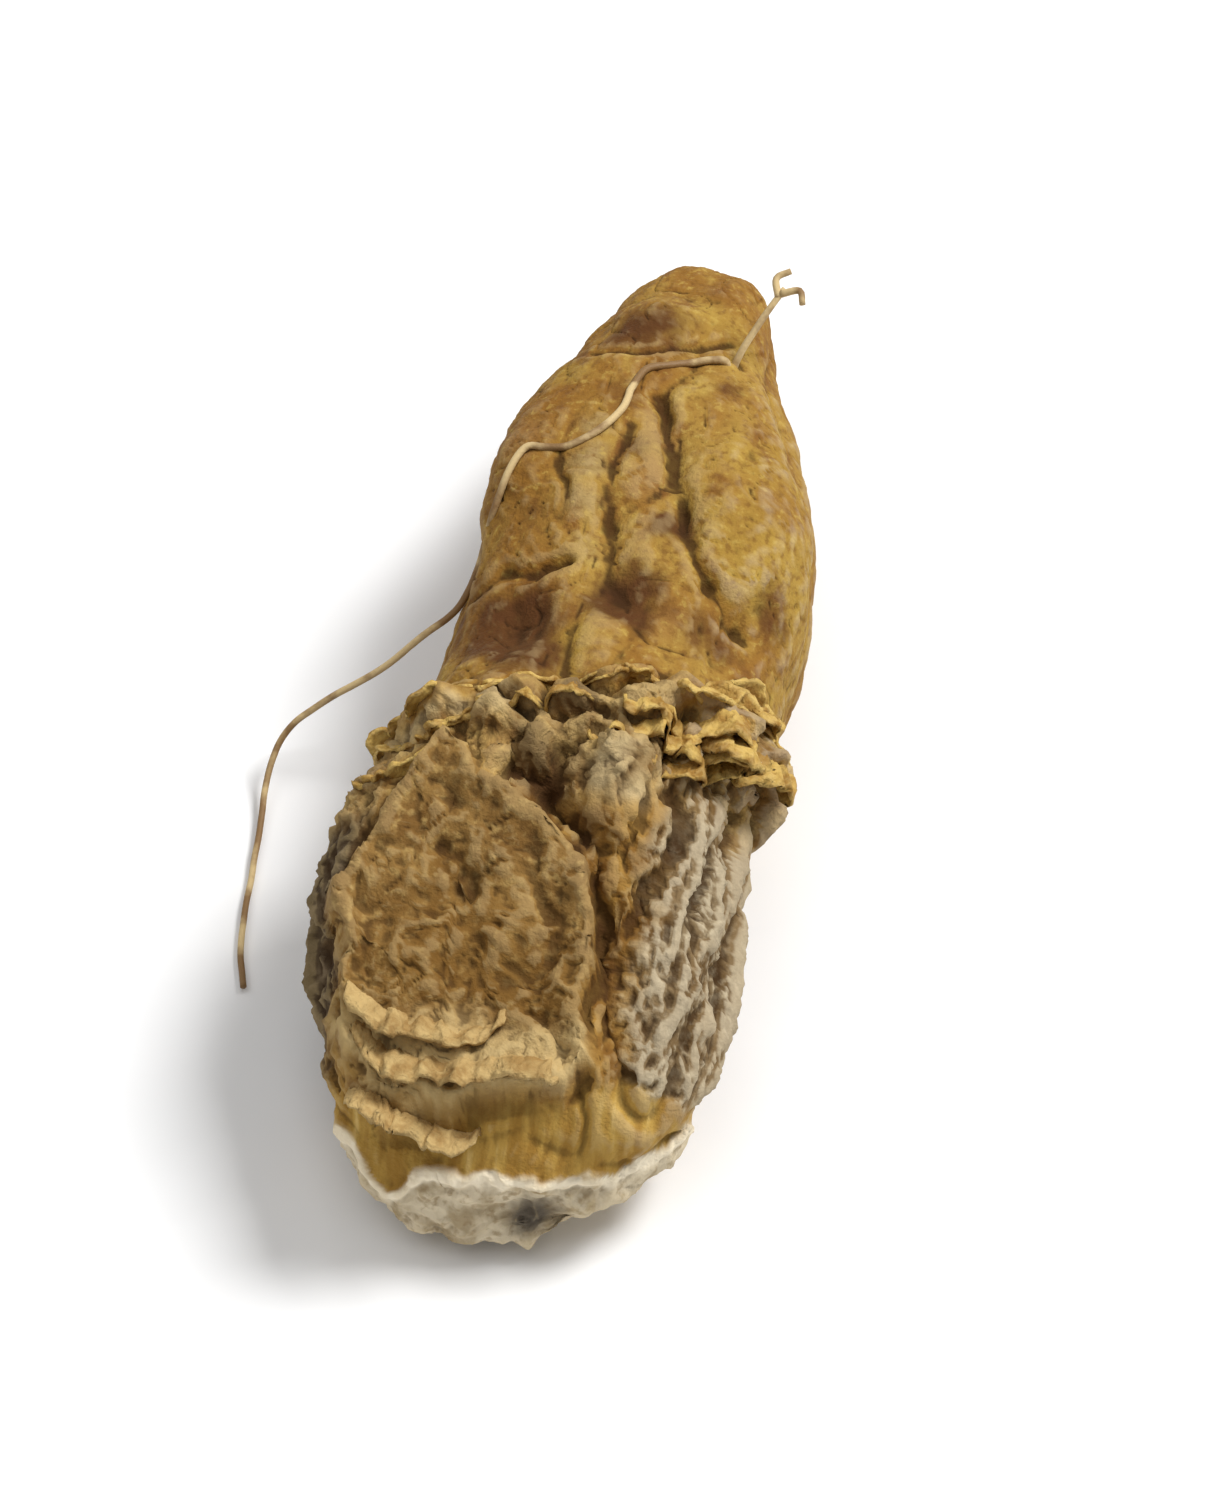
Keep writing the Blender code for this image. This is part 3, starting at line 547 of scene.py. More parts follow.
def wrinkle_sides(skin):
    """Heights of the lengthwise folds that drying left, strongest on the older segment."""
    along = skin[..., 1]
    sway = noise(skin, 5.0 * MM, 11)[..., None] * np.array([1.2, 0.0, 1.2]) * MM
    older = 1.0 - smooth_step(15.0 * MM, 20.0 * MM, along)
    broad = folds(skin + sway, np.array([4.2, 15.0, 4.2]) * MM, 12) - 0.5
    narrow = folds(skin + sway, np.array([1.9, 6.0, 1.9]) * MM, 13) - 0.5
    rise = (0.50 + 0.25 * older) * MM * broad + (0.08 + 0.42 * older) * MM * narrow
    calm = 0.5 * smooth_step(36.0 * MM, 41.0 * MM, along) + 0.7 * smooth_step(4.5 * MM, 1.0 * MM, along)
    return rise * (1.0 - calm)


def collar_line(x, z):
    """The collar's distance from the cut end at each X and height."""
    return COLLAR_AT + COLLAR_SKEW * x - COLLAR_SAG * smooth_step(*COLLAR_SAG_HEIGHTS, z)


def crumple_collar(skin):
    """Heights of the collar's crumpled ring."""
    x, along, z = skin[..., 0], skin[..., 1], skin[..., 2]
    wander = noise(skin, 5.0 * MM, 21) * 1.2 * MM
    past = along - collar_line(x, z) - wander
    ring = np.exp(-((past / np.where(past < 0, *COLLAR_SLOPES)) ** 2))
    crumple = folds(skin, np.array([2.0, 1.6, 2.0]) * MM, 22)
    fades = (0.25 + 0.75 * smooth_step(*COLLAR_FADES, x)) * smooth_step(*COLLAR_FADES_LOW, z)
    return ring * COLLAR_HEIGHT * crumple * fades


def raise_scars(skin):
    """Heights of the round rootlet scars: a low mound with a dent in its middle."""
    height = np.zeros(skin.shape[:-1])
    for scar in ROOTLET_SCARS:
        far = np.linalg.norm(skin - scar, axis=-1) / SCAR_RADIUS
        height += SCAR_HEIGHT * (np.exp(-(far**2)) - 1.2 * np.exp(-((far / 0.45) ** 2)))
    return height


def lay_seal(skin, normal, edge):
    """The skin with the seal's plate raised on it, and each point's share in the plate."""
    x, along = skin[..., 0], skin[..., 1]
    jagged = noise(skin, 1.5 * MM, 31) * 0.35 * MM
    inside = depth_in_seal(x, along) + jagged
    share = smooth_step(-edge / 2, edge / 2, inside) * smooth_step(-0.1, 0.2, normal[..., 2])
    plate = SEAL_LOW + SEAL_RISE_Y * along + SEAL_RISE_X * x + SEAL_PROUD
    lumps = noise(skin, 2.6 * MM, 32) * 0.30 * MM + noise(skin, 1.5 * MM, 33) * 0.22 * MM
    lip = 0.35 * MM * np.exp(-((inside / (0.8 * MM)) ** 2))
    height = np.minimum(plate, skin[..., 2] + SEAL_MOST)
    height += lumps + lip + carve_lines(skin, SEAL_CREASES)
    laid = skin.copy()
    laid[..., 2] += share * (height - skin[..., 2])
    return laid, share


def root_skin(rings, columns, edge):
    """The root's wrinkled skin as a grid of points, and each point's share in the seal."""
    skin = plain_skin(rings, columns)
    normal = grid_normals(skin)
    height = carve_upper_side(skin, normal) + raise_scars(skin)
    height += crumple_collar(skin) + wrinkle_sides(skin)
    skin, share = lay_seal(skin + normal * height[..., None], normal, edge)
    skin[..., 1] -= REST_FROM_CUT
    skin[..., 2] = np.maximum(skin[..., 2], 0.0)
    return skin, share


def mesh_from_rings(name, grid):
    """A closed mesh from a grid of rings, with a fan at each end."""
    rings, columns = grid.shape[:2]
    points = [*grid.reshape(-1, 3), grid[0].mean(axis=0), grid[-1].mean(axis=0)]
    first_pole, last_pole = rings * columns, rings * columns + 1
    faces = []
    for column in range(columns):
        beside = (column + 1) % columns
        faces.append((first_pole, column, beside))
        top = (rings - 1) * columns
        faces.append((last_pole, top + beside, top + column))
        for ring in range(rings - 1):
            low, high = ring * columns, (ring + 1) * columns
            faces.append((low + column, high + column, high + beside))
            faces.append((low + column, high + beside, low + beside))
    mesh = bpy.data.meshes.new(name)
    mesh.from_pydata([tuple(p) for p in points], [], faces)
    mesh.validate()
    return mesh


def smooth_route(points, step):
    """Points about step apart on a smooth curve through the given points."""
    ends = [2 * points[0] - points[1], *points, 2 * points[-1] - points[-2]]
    route = []
    for a, b, c, d in zip(ends[:-3], ends[1:-2], ends[2:-1], ends[3:]):
        count = max(1, round(np.linalg.norm(c - b) / step))
        for t in np.arange(count) / count:
            curve = 2 * b + (c - a) * t + (2 * a - 5 * b + 4 * c - d) * t**2
            route.append(0.5 * (curve + (3 * b - a - 3 * c + d) * t**3))
    return np.array([*route, points[-1]])


def tube_rings(route, radius_at, sides):
    """Rings of a tube along a route. radius_at gives the radius at each share of the way."""
    forward = np.gradient(route, axis=0)
    forward /= np.linalg.norm(forward, axis=1, keepdims=True)
    side = np.cross(forward, (0.0, 0.0, 1.0)) + np.array([1e-6, 0.0, 0.0])
    for place in range(1, len(side)):
        carried = side[place - 1] - forward[place] * (side[place - 1] @ forward[place])
        side[place] = carried
    side /= np.linalg.norm(side, axis=1, keepdims=True)
    other = np.cross(side, forward)
    turn = np.arange(sides) * 2 * pi / sides
    radius = radius_at(np.linspace(0.0, 1.0, len(route)))[:, None, None]
    circle = np.cos(turn)[None, :, None] * side[:, None] + np.sin(turn)[None, :, None] * other[:, None]
    return route[:, None] + radius * circle


def tree_of(mesh):
    """A search tree of a mesh, which rays are cast at."""
    return BVHTree.FromPolygons([v.co for v in mesh.vertices], [p.vertices for p in mesh.polygons])


def tissue_strip(tree, starts, outward, height, lean, seed, rows, thickness):
    """Rings of a crumpled strip that stands on the skin where rays towards its starts meet it."""
    feet = []
    for start, out in zip(starts, outward):
        hit = tree.ray_cast(Vector(start + out * OUTSIDE), Vector(-out))[0]
        feet.append(np.array(hit) - out * STRIP_SINK)
    feet = np.array(feet)
    ends = np.sin(pi * np.linspace(0.0, 1.0, len(feet))) ** 0.4
    torn = np.clip(0.7 + 1.1 * noise(feet, 2.0 * MM, seed), *STRIP_TORN)
    tall = height * ends * torn + STRIP_SINK
    ruffle = height * (0.6 * noise(feet, 2.0 * MM, seed + 1) + 0.3 * noise(feet, 0.9 * MM, seed + 5))
    up = np.linspace(0.0, 1.0, rows)
    up = np.concatenate([up, up[::-1]])
    back = np.repeat([0.0, 1.0], rows)
    depth = back * thickness * (1.0 - 0.4 * up) / np.hypot(1.0, lean)
    rings = feet[:, None] + outward[:, None] * (tall[:, None] * up + depth * lean)[..., None]
    rings[..., 1] += lean * tall[:, None] * up**2 + ruffle[:, None] * up - depth
    crumple = np.stack([noise(rings, 1.1 * MM, seed + place) for place in (2, 3, 4)], axis=-1)
    rings += crumple * (0.3 * height * up * ends[:, None])[..., None]
    rings[..., 2] = np.maximum(rings[..., 2], STRIP_CLEARANCE)
    return rings


def tissue(mesh, strips, flaps, step, rows, thickness):
    """Rings of each strip round the collar and of each flap on the seal's foot."""
    tree = tree_of(mesh)
    made = []
    for past, first, last, height, lean in strips:
        places = round(np.radians(last - first) * COLLAR_RADIUS / step)
        turn = np.radians(np.linspace(first, last, places))
        outward = np.stack([np.cos(turn), 0.0 * turn, np.sin(turn)], axis=-1)
        wander = past * MM + 0.7 * MM * noise(outward + past, 0.35, 61)
        line = collar_line(COLLAR_RADIUS * outward[:, 0], COLLAR_MIDDLE + COLLAR_RADIUS * outward[:, 2])
        starts = np.stack([0.0 * turn, line + wander - REST_FROM_CUT, 0.0 * turn + COLLAR_MIDDLE], axis=-1)
        seed = 100 + 10 * len(made)
        made.append(tissue_strip(tree, starts, outward, height * MM, lean, seed, rows, thickness))
    for route, reach, lean in flaps:
        line = smooth_route([from_cut(x, along, 0.0) for x, along in route], step)
        outward = np.tile([0.0, 0.0, 1.0], (len(line), 1))
        seed = 100 + 10 * len(made)
        made.append(tissue_strip(tree, line, outward, reach * MM, lean, seed, rows, thickness))
    return made


def from_cut(x, along, z):
    """A point in the root's frame, from millimetres measured along the root from its cut end."""
    return np.array([x, along, z]) * MM - np.array([0.0, REST_FROM_CUT, 0.0])


def rootlet_routes(root_mesh):
    """The routes of the rootlet, which is laid on the root, of its short branch and of the curls."""
    tree = tree_of(root_mesh)
    laid = []
    for x, along in ROOTLET_ON_ROOT:
        start = Vector(from_cut(x, along, OUTSIDE / MM))
        hit, normal = tree.ray_cast(start, Vector((0.0, 0.0, -1.0)))[:2]
        laid.append(np.array(hit) + 0.5 * ROOTLET_RADIUS * np.array(normal))
    sunk = laid[0] - np.array([0.0, 0.0, 1.4 * MM])
    free = [from_cut(*place) for place in ROOTLET_FREE]
    side_routes = [[from_cut(*place) for place in route] for route in (ROOTLET_BRANCH, *ROOTLET_CURLS)]
    return [smooth_route(route, ROOTLET_STEP) for route in ([sunk, *laid, *free], *side_routes)]


def taper(share):
    """The rootlet's radius along its way: it thins to its end."""
    return ROOTLET_RADIUS * (1.05 - 0.2 * share)


def add_object(name, data):
    """An object for a mesh, linked to the scene."""
    made = bpy.data.objects.new(name, data)
    bpy.context.scene.collection.objects.link(made)
    return made


def spread(values, cells):
    """Values of the grid averaged over a square that reaches the given number of cells each way."""
    total = np.zeros_like(values)
    for step in range(-cells, cells + 1):
        total += np.roll(values, step, axis=1)
    around = total / (2 * cells + 1)
    padded = np.concatenate([around[:1]] * cells + [around] + [around[-1:]] * cells)
    total = np.zeros_like(values)
    for step in range(2 * cells + 1):
        total += padded[step:step + len(values)]
    return total / (2 * cells + 1)


def hollowness(skin, normal, cells, depth):
    """0.5 on even ground, up to 1 at the given depth below its surroundings, down to 0 above them."""
    below = ((spread(skin, cells) - skin) * normal).sum(axis=-1)
    return np.clip(below / depth, -1.0, 1.0) * 0.5 + 0.5


def wobble(points, size, seed):
    """Smooth shifts from about -1 to 1 along each axis."""
    return np.stack([noise(points, size, seed + axis) for axis in range(3)], axis=-1)


def ridges(points, size, seed):
    """Heights from 0 to 1 with sharp crests and round hollows, as on flaking bark."""
    return 1.0 - folds(points, size, seed)


def crumbs(points, size, seed, octaves):
    """Smooth noise from about -1 to 1 with finer and finer lumps added."""
    total = np.zeros(points.shape[:-1])
    for octave in range(octaves):
        total += noise(points, np.asarray(size) / 2**octave, seed + octave) / 1.7**octave
    return total


def cracks(points, size, seed, width):
    """1 on thin crooked lines, and 0 between them."""
    return smooth_step(width, 0.0, np.abs(noise(points, size, seed)))


def lumps(across, along):
    """The size of lumps that are longer or shorter along the root than across it."""
    return np.array([across, along, across]) * MM


def hump(x, middle, half_width, height):
    """Heights of a smooth hump across the root."""
    return height * np.exp(-(((x - middle) / half_width) ** 2))


def patches(skin, places):
    """Shares of round patches with ragged edges."""
    x = skin[..., 0] + PATCH_WAVER * noise(skin, PATCH_WAVES, 43)
    along = skin[..., 1] + REST_FROM_CUT + PATCH_WAVER * noise(skin, PATCH_WAVES, 44)
    share = np.zeros(x.shape)
    for at_x, at_along, radius, strength in places:
        far = np.hypot(x - at_x * MM, along - at_along * MM) / (radius * MM)
        share = np.maximum(share, strength * np.exp(-(far**2)))
    return share * smooth_step(*PATCH_HEIGHTS, skin[..., 2])


def end_zones(skin, ragged):
    """Shares of the starch, its rim and its pit on the slanting end, and of the bevel above it."""
    x, along, z = skin[..., 0], skin[..., 1] + REST_FROM_CUT, skin[..., 2]
    up_end = UP_END[0] * along + UP_END[1] * z + UP_END[2] * ragged
    out = np.minimum(np.abs(x - STARCH_MIDDLE) / STARCH_HALF_WIDTH, 1.0)
    starch_top = STARCH_TOP + STARCH_RISE * out**4 - hump(x, *STARCH_DIP)
    wave, reach = STARCH_WAVES
    starch_top += reach * noise(skin, wave, 45)
    bevel_top = starch_top + BEVEL_HEIGHT * (1.0 - out**2) + hump(x, *BEVEL_TONGUE)
    starch = smooth_step(STARCH_EDGE, -STARCH_EDGE, up_end - starch_top)
    pit_x, pit_z, pit_radius = STARCH_PIT
    return {
        "starch": starch,
        "rim": np.exp(-(((up_end - starch_top + RIM_BELOW) / RIM_WIDTH) ** 2)),
        "pit": np.exp(-((np.hypot(x - pit_x, z - pit_z) / pit_radius) ** 2)) * starch,
        "bevel": smooth_step(BEVEL_EDGE, -BEVEL_EDGE, up_end - bevel_top),
    }


def skin_zones(skin, seal):
    """Shares, from 0 to 1, of the kinds of surface at each point of the skin."""
    x, along, z = skin[..., 0], skin[..., 1] + REST_FROM_CUT, skin[..., 2]
    ragged = sum(reach * noise(skin, wave, 41 + place) for place, (wave, reach) in enumerate(RAGGED_WAVES))
    past_collar = along - collar_line(x, z) + ragged
    bud = smooth_step(*BUD_PAST_COLLAR, past_collar)
    between = (1.0 - seal) * (1.0 - bud)
    frill = smooth_step(*FRILL_PAST_COLLAR, past_collar) * smooth_step(*FRILL_HEIGHTS, z) * between
    zones = {name: share * (1.0 - seal) for name, share in end_zones(skin, ragged).items()}
    bark = between * (1.0 - zones["bevel"]) * (1.0 - FRILL_TAKES * frill)
    zones["bevel"] *= 1.0 - zones["starch"]
    zones |= {
        "seal": seal,
        "bud": bud,
        "frill": frill,
        "bark": bark,
        "pale": smooth_step(*PALE_ACROSS, x + ragged) * smooth_step(*PALE_HEIGHTS, z),
        "left": smooth_step(*LEFT_ACROSS, x) * bark,
        "foot": smooth_step(*FOOT_FROM_CUT, along + ragged) * seal,
        "lobe": smooth_step(*LOBE_ACROSS, x + ragged) * bud,
    }
    zones |= {name: patches(skin, places) for name, places in PATCHES.items()}
    zones["pits"] *= seal
    zones["fluff"] *= between
    zones["shade"] *= between
    shade_shows = [1.0 - zones[name] * (1.0 - share) for name, share in CREASE_SHADE_SHOWS.items()]
    zones["shade_shows"] = np.prod(shade_shows, axis=0)
    return zones


def bark_relief(lined, warped):
    """Flaking ridges along the root, in millimetres of height."""
    height = 0.22 * crumbs(lined, lumps(1.1, 5.5), 54, 3)
    height += 0.22 * ridges(lined, lumps(0.7, 4.2), 57)
    height += 0.14 * ridges(warped, lumps(0.45, 1.4), 58)
    return height + 0.11 * crumbs(warped, 0.35 * MM, 85, 2) - 0.20


def bud_relief(warped):
    """Soft lumps, granules and a few cracks, in millimetres of height."""
    height = 0.10 * crumbs(warped, lumps(2.4, 3.6), 59, 2)
    height += 0.055 * crumbs(warped, lumps(0.8, 1.1), 60, 4)
    return height - 0.08 * cracks(warped, lumps(1.6, 2.4), 68, 0.05)


def seal_relief(warped, swirled):
    """Leathery lumps with swirled folds and cracks, in millimetres of height."""
    height = 0.15 * crumbs(warped, 2.4 * MM, 64, 2) + 0.045 * crumbs(warped, 0.6 * MM, 66, 3)
    height += 0.15 * ridges(swirled, lumps(1.5, 2.0), 83)
    height += 0.09 * ridges(swirled, lumps(0.6, 0.45), 84) - 0.14
    height -= 0.14 * cracks(warped, 1.9 * MM, 69, 0.06)
    return height - 0.08 * cracks(swirled, 1.0 * MM, 86, 0.07)


def frill_relief(warped, swirled):
    """Crumpled tissue at three sizes, in millimetres of height."""
    height = 0.20 * crumbs(warped, lumps(1.2, 0.9), 70, 4)
    height += 0.20 * ridges(swirled, lumps(1.1, 1.0), 72)
    return height + 0.20 * ridges(swirled, 0.5 * MM, 74) - 0.20


def bevel_relief(warped):
    """Fibres that run up the slanting end, in millimetres of height."""
    return 0.05 * crumbs(warped, np.array([0.4, 3.0, 2.0]) * MM, 73, 3)


def starch_relief(warped):
    """Crumbling grains, in millimetres of height."""
    return 0.26 * crumbs(warped, 1.6 * MM, 76, 3) + 0.10 * ridges(warped, 0.7 * MM, 81) - 0.08


def evenness(skin):
    """1 where the grid is as fine as planned, and less where a cliff stretches it."""
    along = np.linalg.norm(np.gradient(skin, axis=0), axis=-1)
    around = np.linalg.norm(np.roll(skin, -1, axis=1) - skin, axis=-1)
    return np.clip(FINE_CELL / np.maximum(along, around), 0.0, 1.0)


def fine_relief(skin, zones):
    """Heights of the relief that is too small for the CAD part."""
    size, reach = WARP
    warp = reach * wobble(skin, size, 51)
    lined = skin + LINED * warp
    warped = skin + warp
    swirled = skin + SWIRLED * warp
    height = zones["bark"] * bark_relief(lined, warped)
    height += zones["bud"] * bud_relief(warped)
    height += zones["seal"] * seal_relief(warped, swirled)
    height += zones["frill"] * frill_relief(warped, swirled)
    height += zones["bevel"] * bevel_relief(warped)
    height += zones["starch"] * (starch_relief(warped) - STARCH_PIT_DEPTH * zones["pit"])
    height += zones["left"] * LEFT_LUMPS * ridges(warped, lumps(1.4, 1.6), 80)
    height += zones["rim"] * RIM_HEIGHT - zones["pits"] * SEAL_PIT_DEPTH
    return height * evenness(skin) * MM


def fine_skin():
    """The skin's points and its zones, with its creases and hollows among them."""
    skin, seal = root_skin(FINE_RINGS, FINE_COLUMNS, FINE_SEAL_EDGE)
    zones = skin_zones(skin, seal)
    skin = skin + grid_normals(skin) * fine_relief(skin, zones)[..., None]
    skin[..., 2] = np.maximum(skin[..., 2], 0.0)
    normal = grid_normals(skin)
    zones["crease"] = hollowness(skin, normal, *CREASE_SCALE)
    zones["hollow"] = hollowness(skin, normal, *HOLLOW_SCALE)
    return skin, zones


def store(mesh, name, values):
    """Keeps one number for each vertex, which the mesh's material reads by name."""
    layer = mesh.attributes.new(name, "FLOAT", "POINT")
    layer.data.foreach_set("value", np.asarray(values, np.float32).ravel())


class Paint:
    """Short ways to build one material's nodes."""

    def __init__(self, name):
        self.material = bpy.data.materials.new(name)
        self.material.use_nodes = True
        self.tree = self.material.node_tree
        self.shader = self.tree.nodes["Principled BSDF"]
        self.place = self.tree.nodes.new("ShaderNodeTexCoord").outputs["Object"]
        self.patterns = {}

    def put(self, socket, value):
        """Sets a socket's value, or links it to a socket or to a pattern or zone by its name."""
        if isinstance(value, str):
            value = self.patterns[value] if value in self.patterns else self.zone(value)
        if isinstance(value, bpy.types.NodeSocket):
            self.tree.links.new(value, socket)
        else:
            socket.default_value = value

    def zone(self, name):
        """The number that the mesh stores under a name."""
        node = self.tree.nodes.new("ShaderNodeAttribute")
        node.attribute_name = name
        return node.outputs["Fac"]

    def noise(self, lump, detail=4.0, stretch=(1.0, 1.0, 1.0), distortion=0.0):
        """Noise whose lumps are about the given size, longer along an axis with a stretch below 1."""
        mapping = self.tree.nodes.new("ShaderNodeMapping")
        mapping.inputs["Scale"].default_value = [s / lump for s in stretch]
        self.put(mapping.inputs["Vector"], self.place)
        node = self.tree.nodes.new("ShaderNodeTexNoise")
        node.inputs["Scale"].default_value = 1.0
        node.inputs["Detail"].default_value = detail
        node.inputs["Distortion"].default_value = distortion
        self.put(node.inputs["Vector"], mapping.outputs["Vector"])
        return node.outputs["Fac"]

    def span(self, value, low, high, start=0.0, end=1.0):
        """The value's way from low to high, turned into a way from start to end."""
        node = self.tree.nodes.new("ShaderNodeMapRange")
        node.interpolation_type = "SMOOTHSTEP"
        for name, number in (("From Min", low), ("From Max", high), ("To Min", start), ("To Max", end)):
            node.inputs[name].default_value = number
        self.put(node.inputs["Value"], value)
        return node.outputs["Result"]

    def math(self, operation, first, second):
        """The result of a sum or a product."""
        node = self.tree.nodes.new("ShaderNodeMath")
        node.operation = operation
        self.put(node.inputs[0], first)
        self.put(node.inputs[1], second)
        return node.outputs["Value"]

    def mix(self, share, first, second):
        """A colour that is the first at share 0 and the second at share 1."""
        node = self.tree.nodes.new("ShaderNodeMix")
        node.data_type = "RGBA"
        self.put(node.inputs["Factor"], share)
        for place, colour in zip(MIX_COLOURS, (first, second)):
            self.put(node.inputs[place], (*colour, 1.0) if isinstance(colour, tuple) else colour)
        return node.outputs[MIX_RESULT]

    def tint(self, colour, pattern, low, high, most, tint):
        """The colour under a tint whose share grows as a pattern goes from low to high."""
        return self.mix(self.span(pattern, low, high, 0.0, most), colour, tint)

    def surface(self, base, layers):
        """A surface's base colour under its layers."""
        colour = base
        for layer in layers:
            colour = self.tint(colour, *layer)
        return colour

    def gloss(self, values):
        """Sets how the material reflects."""
        for name, value in values.items():
            self.put(self.shader.inputs[name], value)

    def finish(self, colour, roughness, height, depth):
        """Gives the material its colour, its roughness and a bump of the given depth."""
        self.put(self.shader.inputs["Base Color"], colour)
        self.put(self.shader.inputs["Roughness"], roughness)
        node = self.tree.nodes.new("ShaderNodeBump")
        node.inputs["Distance"].default_value = depth
        self.put(node.inputs["Height"], height)
        self.put(self.shader.inputs["Normal"], node.outputs["Normal"])
        return self.material


def paint_crease_shade_and_highlights(paint, colour):
    """The colour with painted shade in creases and hollows, and painted highlights on crests."""
    # Painted shade in creases and in hollows.
    crease = paint.span("crease", 0.55, 1.0, 0.0, 0.8)
    colour = paint.mix(paint.math("MULTIPLY", crease, "shade_shows"), colour, CREASE_PAINTED_SHADE)
    hollow = paint.span("hollow", 0.60, 1.0, 0.0, 0.55)
    colour = paint.mix(paint.math("MULTIPLY", hollow, "shade_shows"), colour, HOLLOW_PAINTED_SHADE)
    # Painted highlights on crests, which on the pale bark are partly its own paler ridges.
    crest = paint.span("crease", 0.45, 0.10)
    share = paint.span(paint.math("MULTIPLY", "pale", "bark"), 0.0, 1.0, 0.22, 0.5)
    light = paint.mix("pale", CREST_PAINTED_HIGHLIGHT, CREST_CREAM_AND_PAINTED_HIGHLIGHT)
    return paint.mix(paint.math("MULTIPLY", crest, share), colour, light)


def skin_material():
    """Dry skin: ochre bud, tan scar, grey bark, yellow bevel and white starch, with painted crease shade.
    """
    paint = Paint("dried_root_skin")
    paint.patterns = {
        "broad": paint.noise(3.0 * MM, 3.0, (1.0, 0.5, 1.0)),
        "patch": paint.noise(1.1 * MM, 6.0, (1.0, 0.6, 1.0), 0.3),
        "fine": paint.noise(0.35 * MM, 6.0),
        "streak": paint.noise(0.5 * MM, 4.0, (1.0, 0.18, 0.18)),
    }
    ragged = paint.math("ADD", "blotch", paint.span("patch", 0.3, 0.7, 0.12, -0.12))
    paint.patterns["ragged blotch"] = ragged
    colour = paint.mix("pale", paint.surface(*BARK), paint.surface(*PALE_BARK))
    # The left flank's bark, darkened with painted shade.
    colour = paint.mix("left", colour, paint.surface(*LEFT_BARK_AND_SHADE))
    colour = paint.mix("bud", colour, paint.surface(*BUD))
    colour = paint.mix("frill", colour, paint.surface(*FRILL))
    colour = paint.tint(colour, "fluff", 0.1, 0.7, 0.85, paint.surface(*FLUFF))
    colour = paint.tint(colour, "shade", 0.15, 0.8, 0.85, SHADE_BROWN)
    colour = paint.mix("bevel", colour, paint.surface(*BEVEL))
    colour = paint.mix("starch", colour, paint.surface(*STARCH))
    colour = paint.mix("seal", colour, paint.surface(*SEAL))
    crumple = paint.math("MULTIPLY", "frill", paint.noise(0.6 * MM, 5.0, distortion=1.5))
    grain = paint.math("ADD", "fine", paint.noise(0.12 * MM, 3.0))
    height = paint.math("ADD", grain, paint.math("MULTIPLY", crumple, 3.0))
    roughness = paint.span("patch", 0.3, 0.7, 0.70, 0.92)
    paint.gloss(SKIN_GLOSS)
    return paint.finish(paint_crease_shade_and_highlights(paint, colour), roughness, height, 0.05 * MM)


def tissue_material():
    """Dry torn tissue, brown and yellow with a paler edge, and tan on the flaps."""
    paint = Paint("torn_tissue")
    paint.patterns = {
        "patch": paint.noise(1.0 * MM, 5.0, distortion=0.5),
        "fine": paint.noise(0.25 * MM, 4.0),
    }
    colour = paint.mix("flap", paint.surface(*TISSUE), paint.surface(*FLAP))
    edge = paint.math("MULTIPLY", "edge", paint.span("fine", 0.3, 0.7, 0.3, 1.0))
    colour = paint.tint(colour, edge, 0.35, 1.0, 0.3, TISSUE_EDGE)
    height = paint.math("ADD", "fine", paint.noise(0.6 * MM, 4.0, distortion=1.5))
    roughness = paint.span("patch", 0.3, 0.7, 0.65, 0.88)
    paint.gloss(TISSUE_GLOSS)
    return paint.finish(colour, roughness, height, 0.12 * MM)


def rootlet_material():
    """Pale dry rootlet with brown lengths."""
    paint = Paint("rootlet_skin")
    paint.patterns = {"patch": paint.noise(1.6 * MM, 4.0)}
    roughness = paint.span("patch", 0.3, 0.7, 0.6, 0.85)
    return paint.finish(paint.surface(*ROOTLET), roughness, paint.noise(0.15 * MM, 3.0), 0.03 * MM)


def floor_material():
    """Pale matt floor with a faint grain."""
    paint = Paint("pale_floor")
    grain = paint.noise(2.0 * MM, 2.0)
    return paint.finish(paint.mix(grain, *FLOOR_COLOURS), 0.8, grain, 0.002 * MM)


def finish_piece(piece, material):
    """Paints a piece of the root, shades it smooth and ties it to the CAD body."""
    piece.data.materials.append(material)
    piece.data.shade_smooth()
    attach(piece, BODY)


def build_skin():
    """The root's skin, which stands for the CAD part."""
    skin, zones = fine_skin()
    mesh = mesh_from_rings("root_skin", skin)
    for name, values in zones.items():
        store(mesh, name, [*values.ravel(), values[0].mean(), values[-1].mean()])
    piece = add_object("root_skin", mesh)
    finish_piece(piece, skin_material())
    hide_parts("root")
    return piece


def build_tissue(mesh):
    """The torn strips on the collar and the flaps on the seal's foot."""
    material = tissue_material()
    strips = COLLAR_STRIPS + FINE_STRIPS
    flaps = FOOT_FLAPS + FINE_FLAPS
    up = np.linspace(0.0, 1.0, FINE_ROWS)
    for number, rings in enumerate(tissue(mesh, strips, flaps, FINE_STEP, FINE_ROWS, FINE_THICKNESS)):
        for size, depth in TISSUE_CRUMPLES:
            rings = rings + depth * wobble(rings, size, number + 2)
        strip = mesh_from_rings("tissue", rings)
        store(strip, "edge", [*np.tile([*up, *up[::-1]], len(rings)), 0.0, 0.0])
        store(strip, "flap", np.full(len(strip.vertices), float(number >= len(strips))))
        finish_piece(add_object(f"tissue_{number}", strip), material)


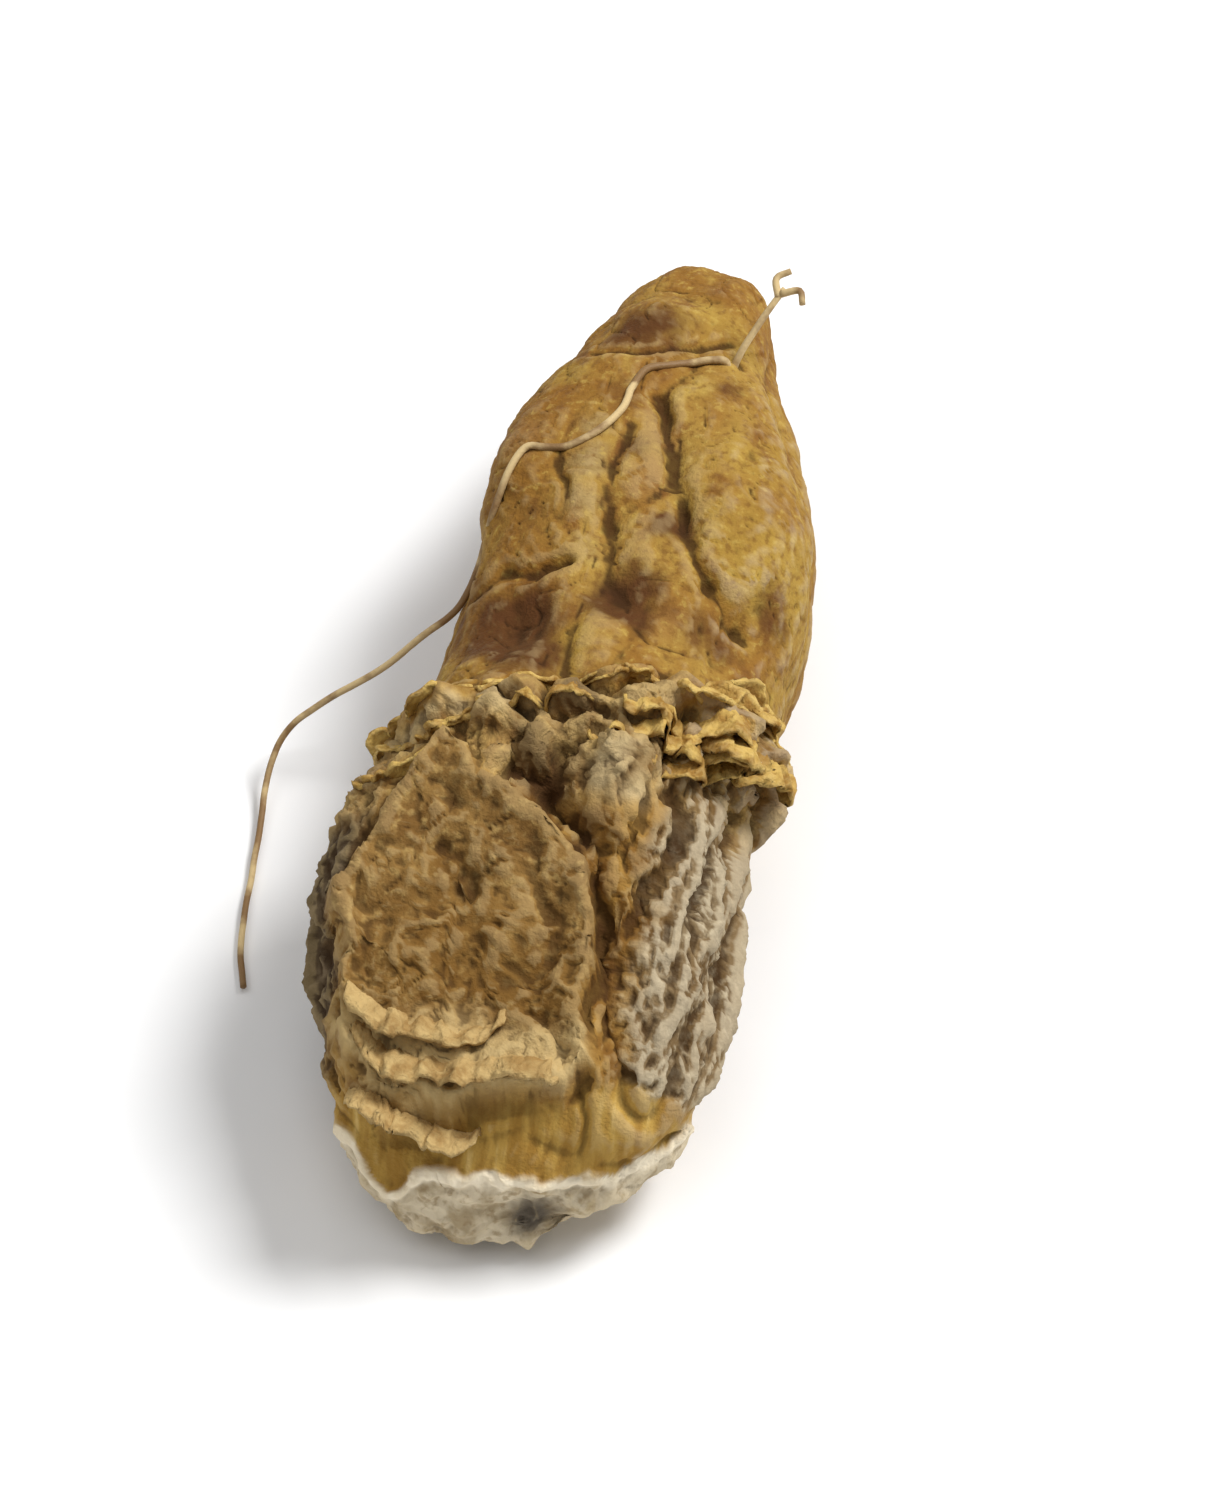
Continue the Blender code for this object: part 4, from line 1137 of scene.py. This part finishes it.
def build_rootlet(mesh):
    """The rootlet, its branch and the curls at the branch's end."""
    material = rootlet_material()
    kink, depth = ROOTLET_KINKS
    for number, route in enumerate(rootlet_routes(mesh)):
        fine = smooth_route(list(route), FINE_ROOTLET_STEP)
        fine = fine + depth * wobble(fine, kink, 71)
        rings = tube_rings(fine, lambda share: FINE_ROOTLET * taper(share), FINE_ROOTLET_SIDES)
        finish_piece(add_object(f"rootlet_{number}", mesh_from_rings("rootlet", rings)), material)


def build_floor():
    """The pale floor, which is part of the stage."""
    mesh = bpy.data.meshes.new("floor")
    corners = [(x * FLOOR_REACH, y * FLOOR_REACH, 0) for x, y in ((-1, -1), (1, -1), (1, 1), (-1, 1))]
    mesh.from_pydata(corners, [], [(0, 1, 2, 3)])
    floor = add_object("floor", mesh)
    floor.data.materials.append(floor_material())


def light_studio():
    """Square soft lights that face the root, and even white surroundings."""
    for name, (place, size, power) in LIGHTS.items():
        data = bpy.data.lights.new(name, "AREA")
        data.size = size
        data.energy = power
        light = add_object(name, data)
        light.location = place
        light.rotation_euler = (VIEW_CENTRE - Vector(place)).to_track_quat("-Z", "Y").to_euler()
    world = bpy.data.worlds.new("studio")
    world.use_nodes = True
    world.node_tree.nodes["Background"].inputs["Color"].default_value = (1.0, 1.0, 1.0, 1.0)
    world.node_tree.nodes["Background"].inputs["Strength"].default_value = SURROUNDINGS
    bpy.context.scene.world = world
    bpy.context.scene.view_settings.view_transform = "Standard"


def place_camera():
    """The camera at the photograph's angle."""
    data = bpy.data.cameras.new("camera")
    data.lens = CAMERA_LENS
    data.sensor_width = CAMERA_SENSOR
    data.clip_start, data.clip_end = CAMERA_RANGE
    camera = add_object("camera", data)
    level = cos(CAMERA_ELEVATION)
    back = Vector((sin(CAMERA_AZIMUTH) * level, -cos(CAMERA_AZIMUTH) * level, sin(CAMERA_ELEVATION)))
    camera.location = VIEW_CENTRE + back * (VIEW_HEIGHT * CAMERA_LENS / CAMERA_SENSOR)
    camera.rotation_euler = (-back).to_track_quat("-Z", "Y").to_euler()
    bpy.context.scene.camera = camera


skin = build_skin()
build_tissue(skin.data)
build_rootlet(skin.data)
build_floor()
light_studio()
place_camera()
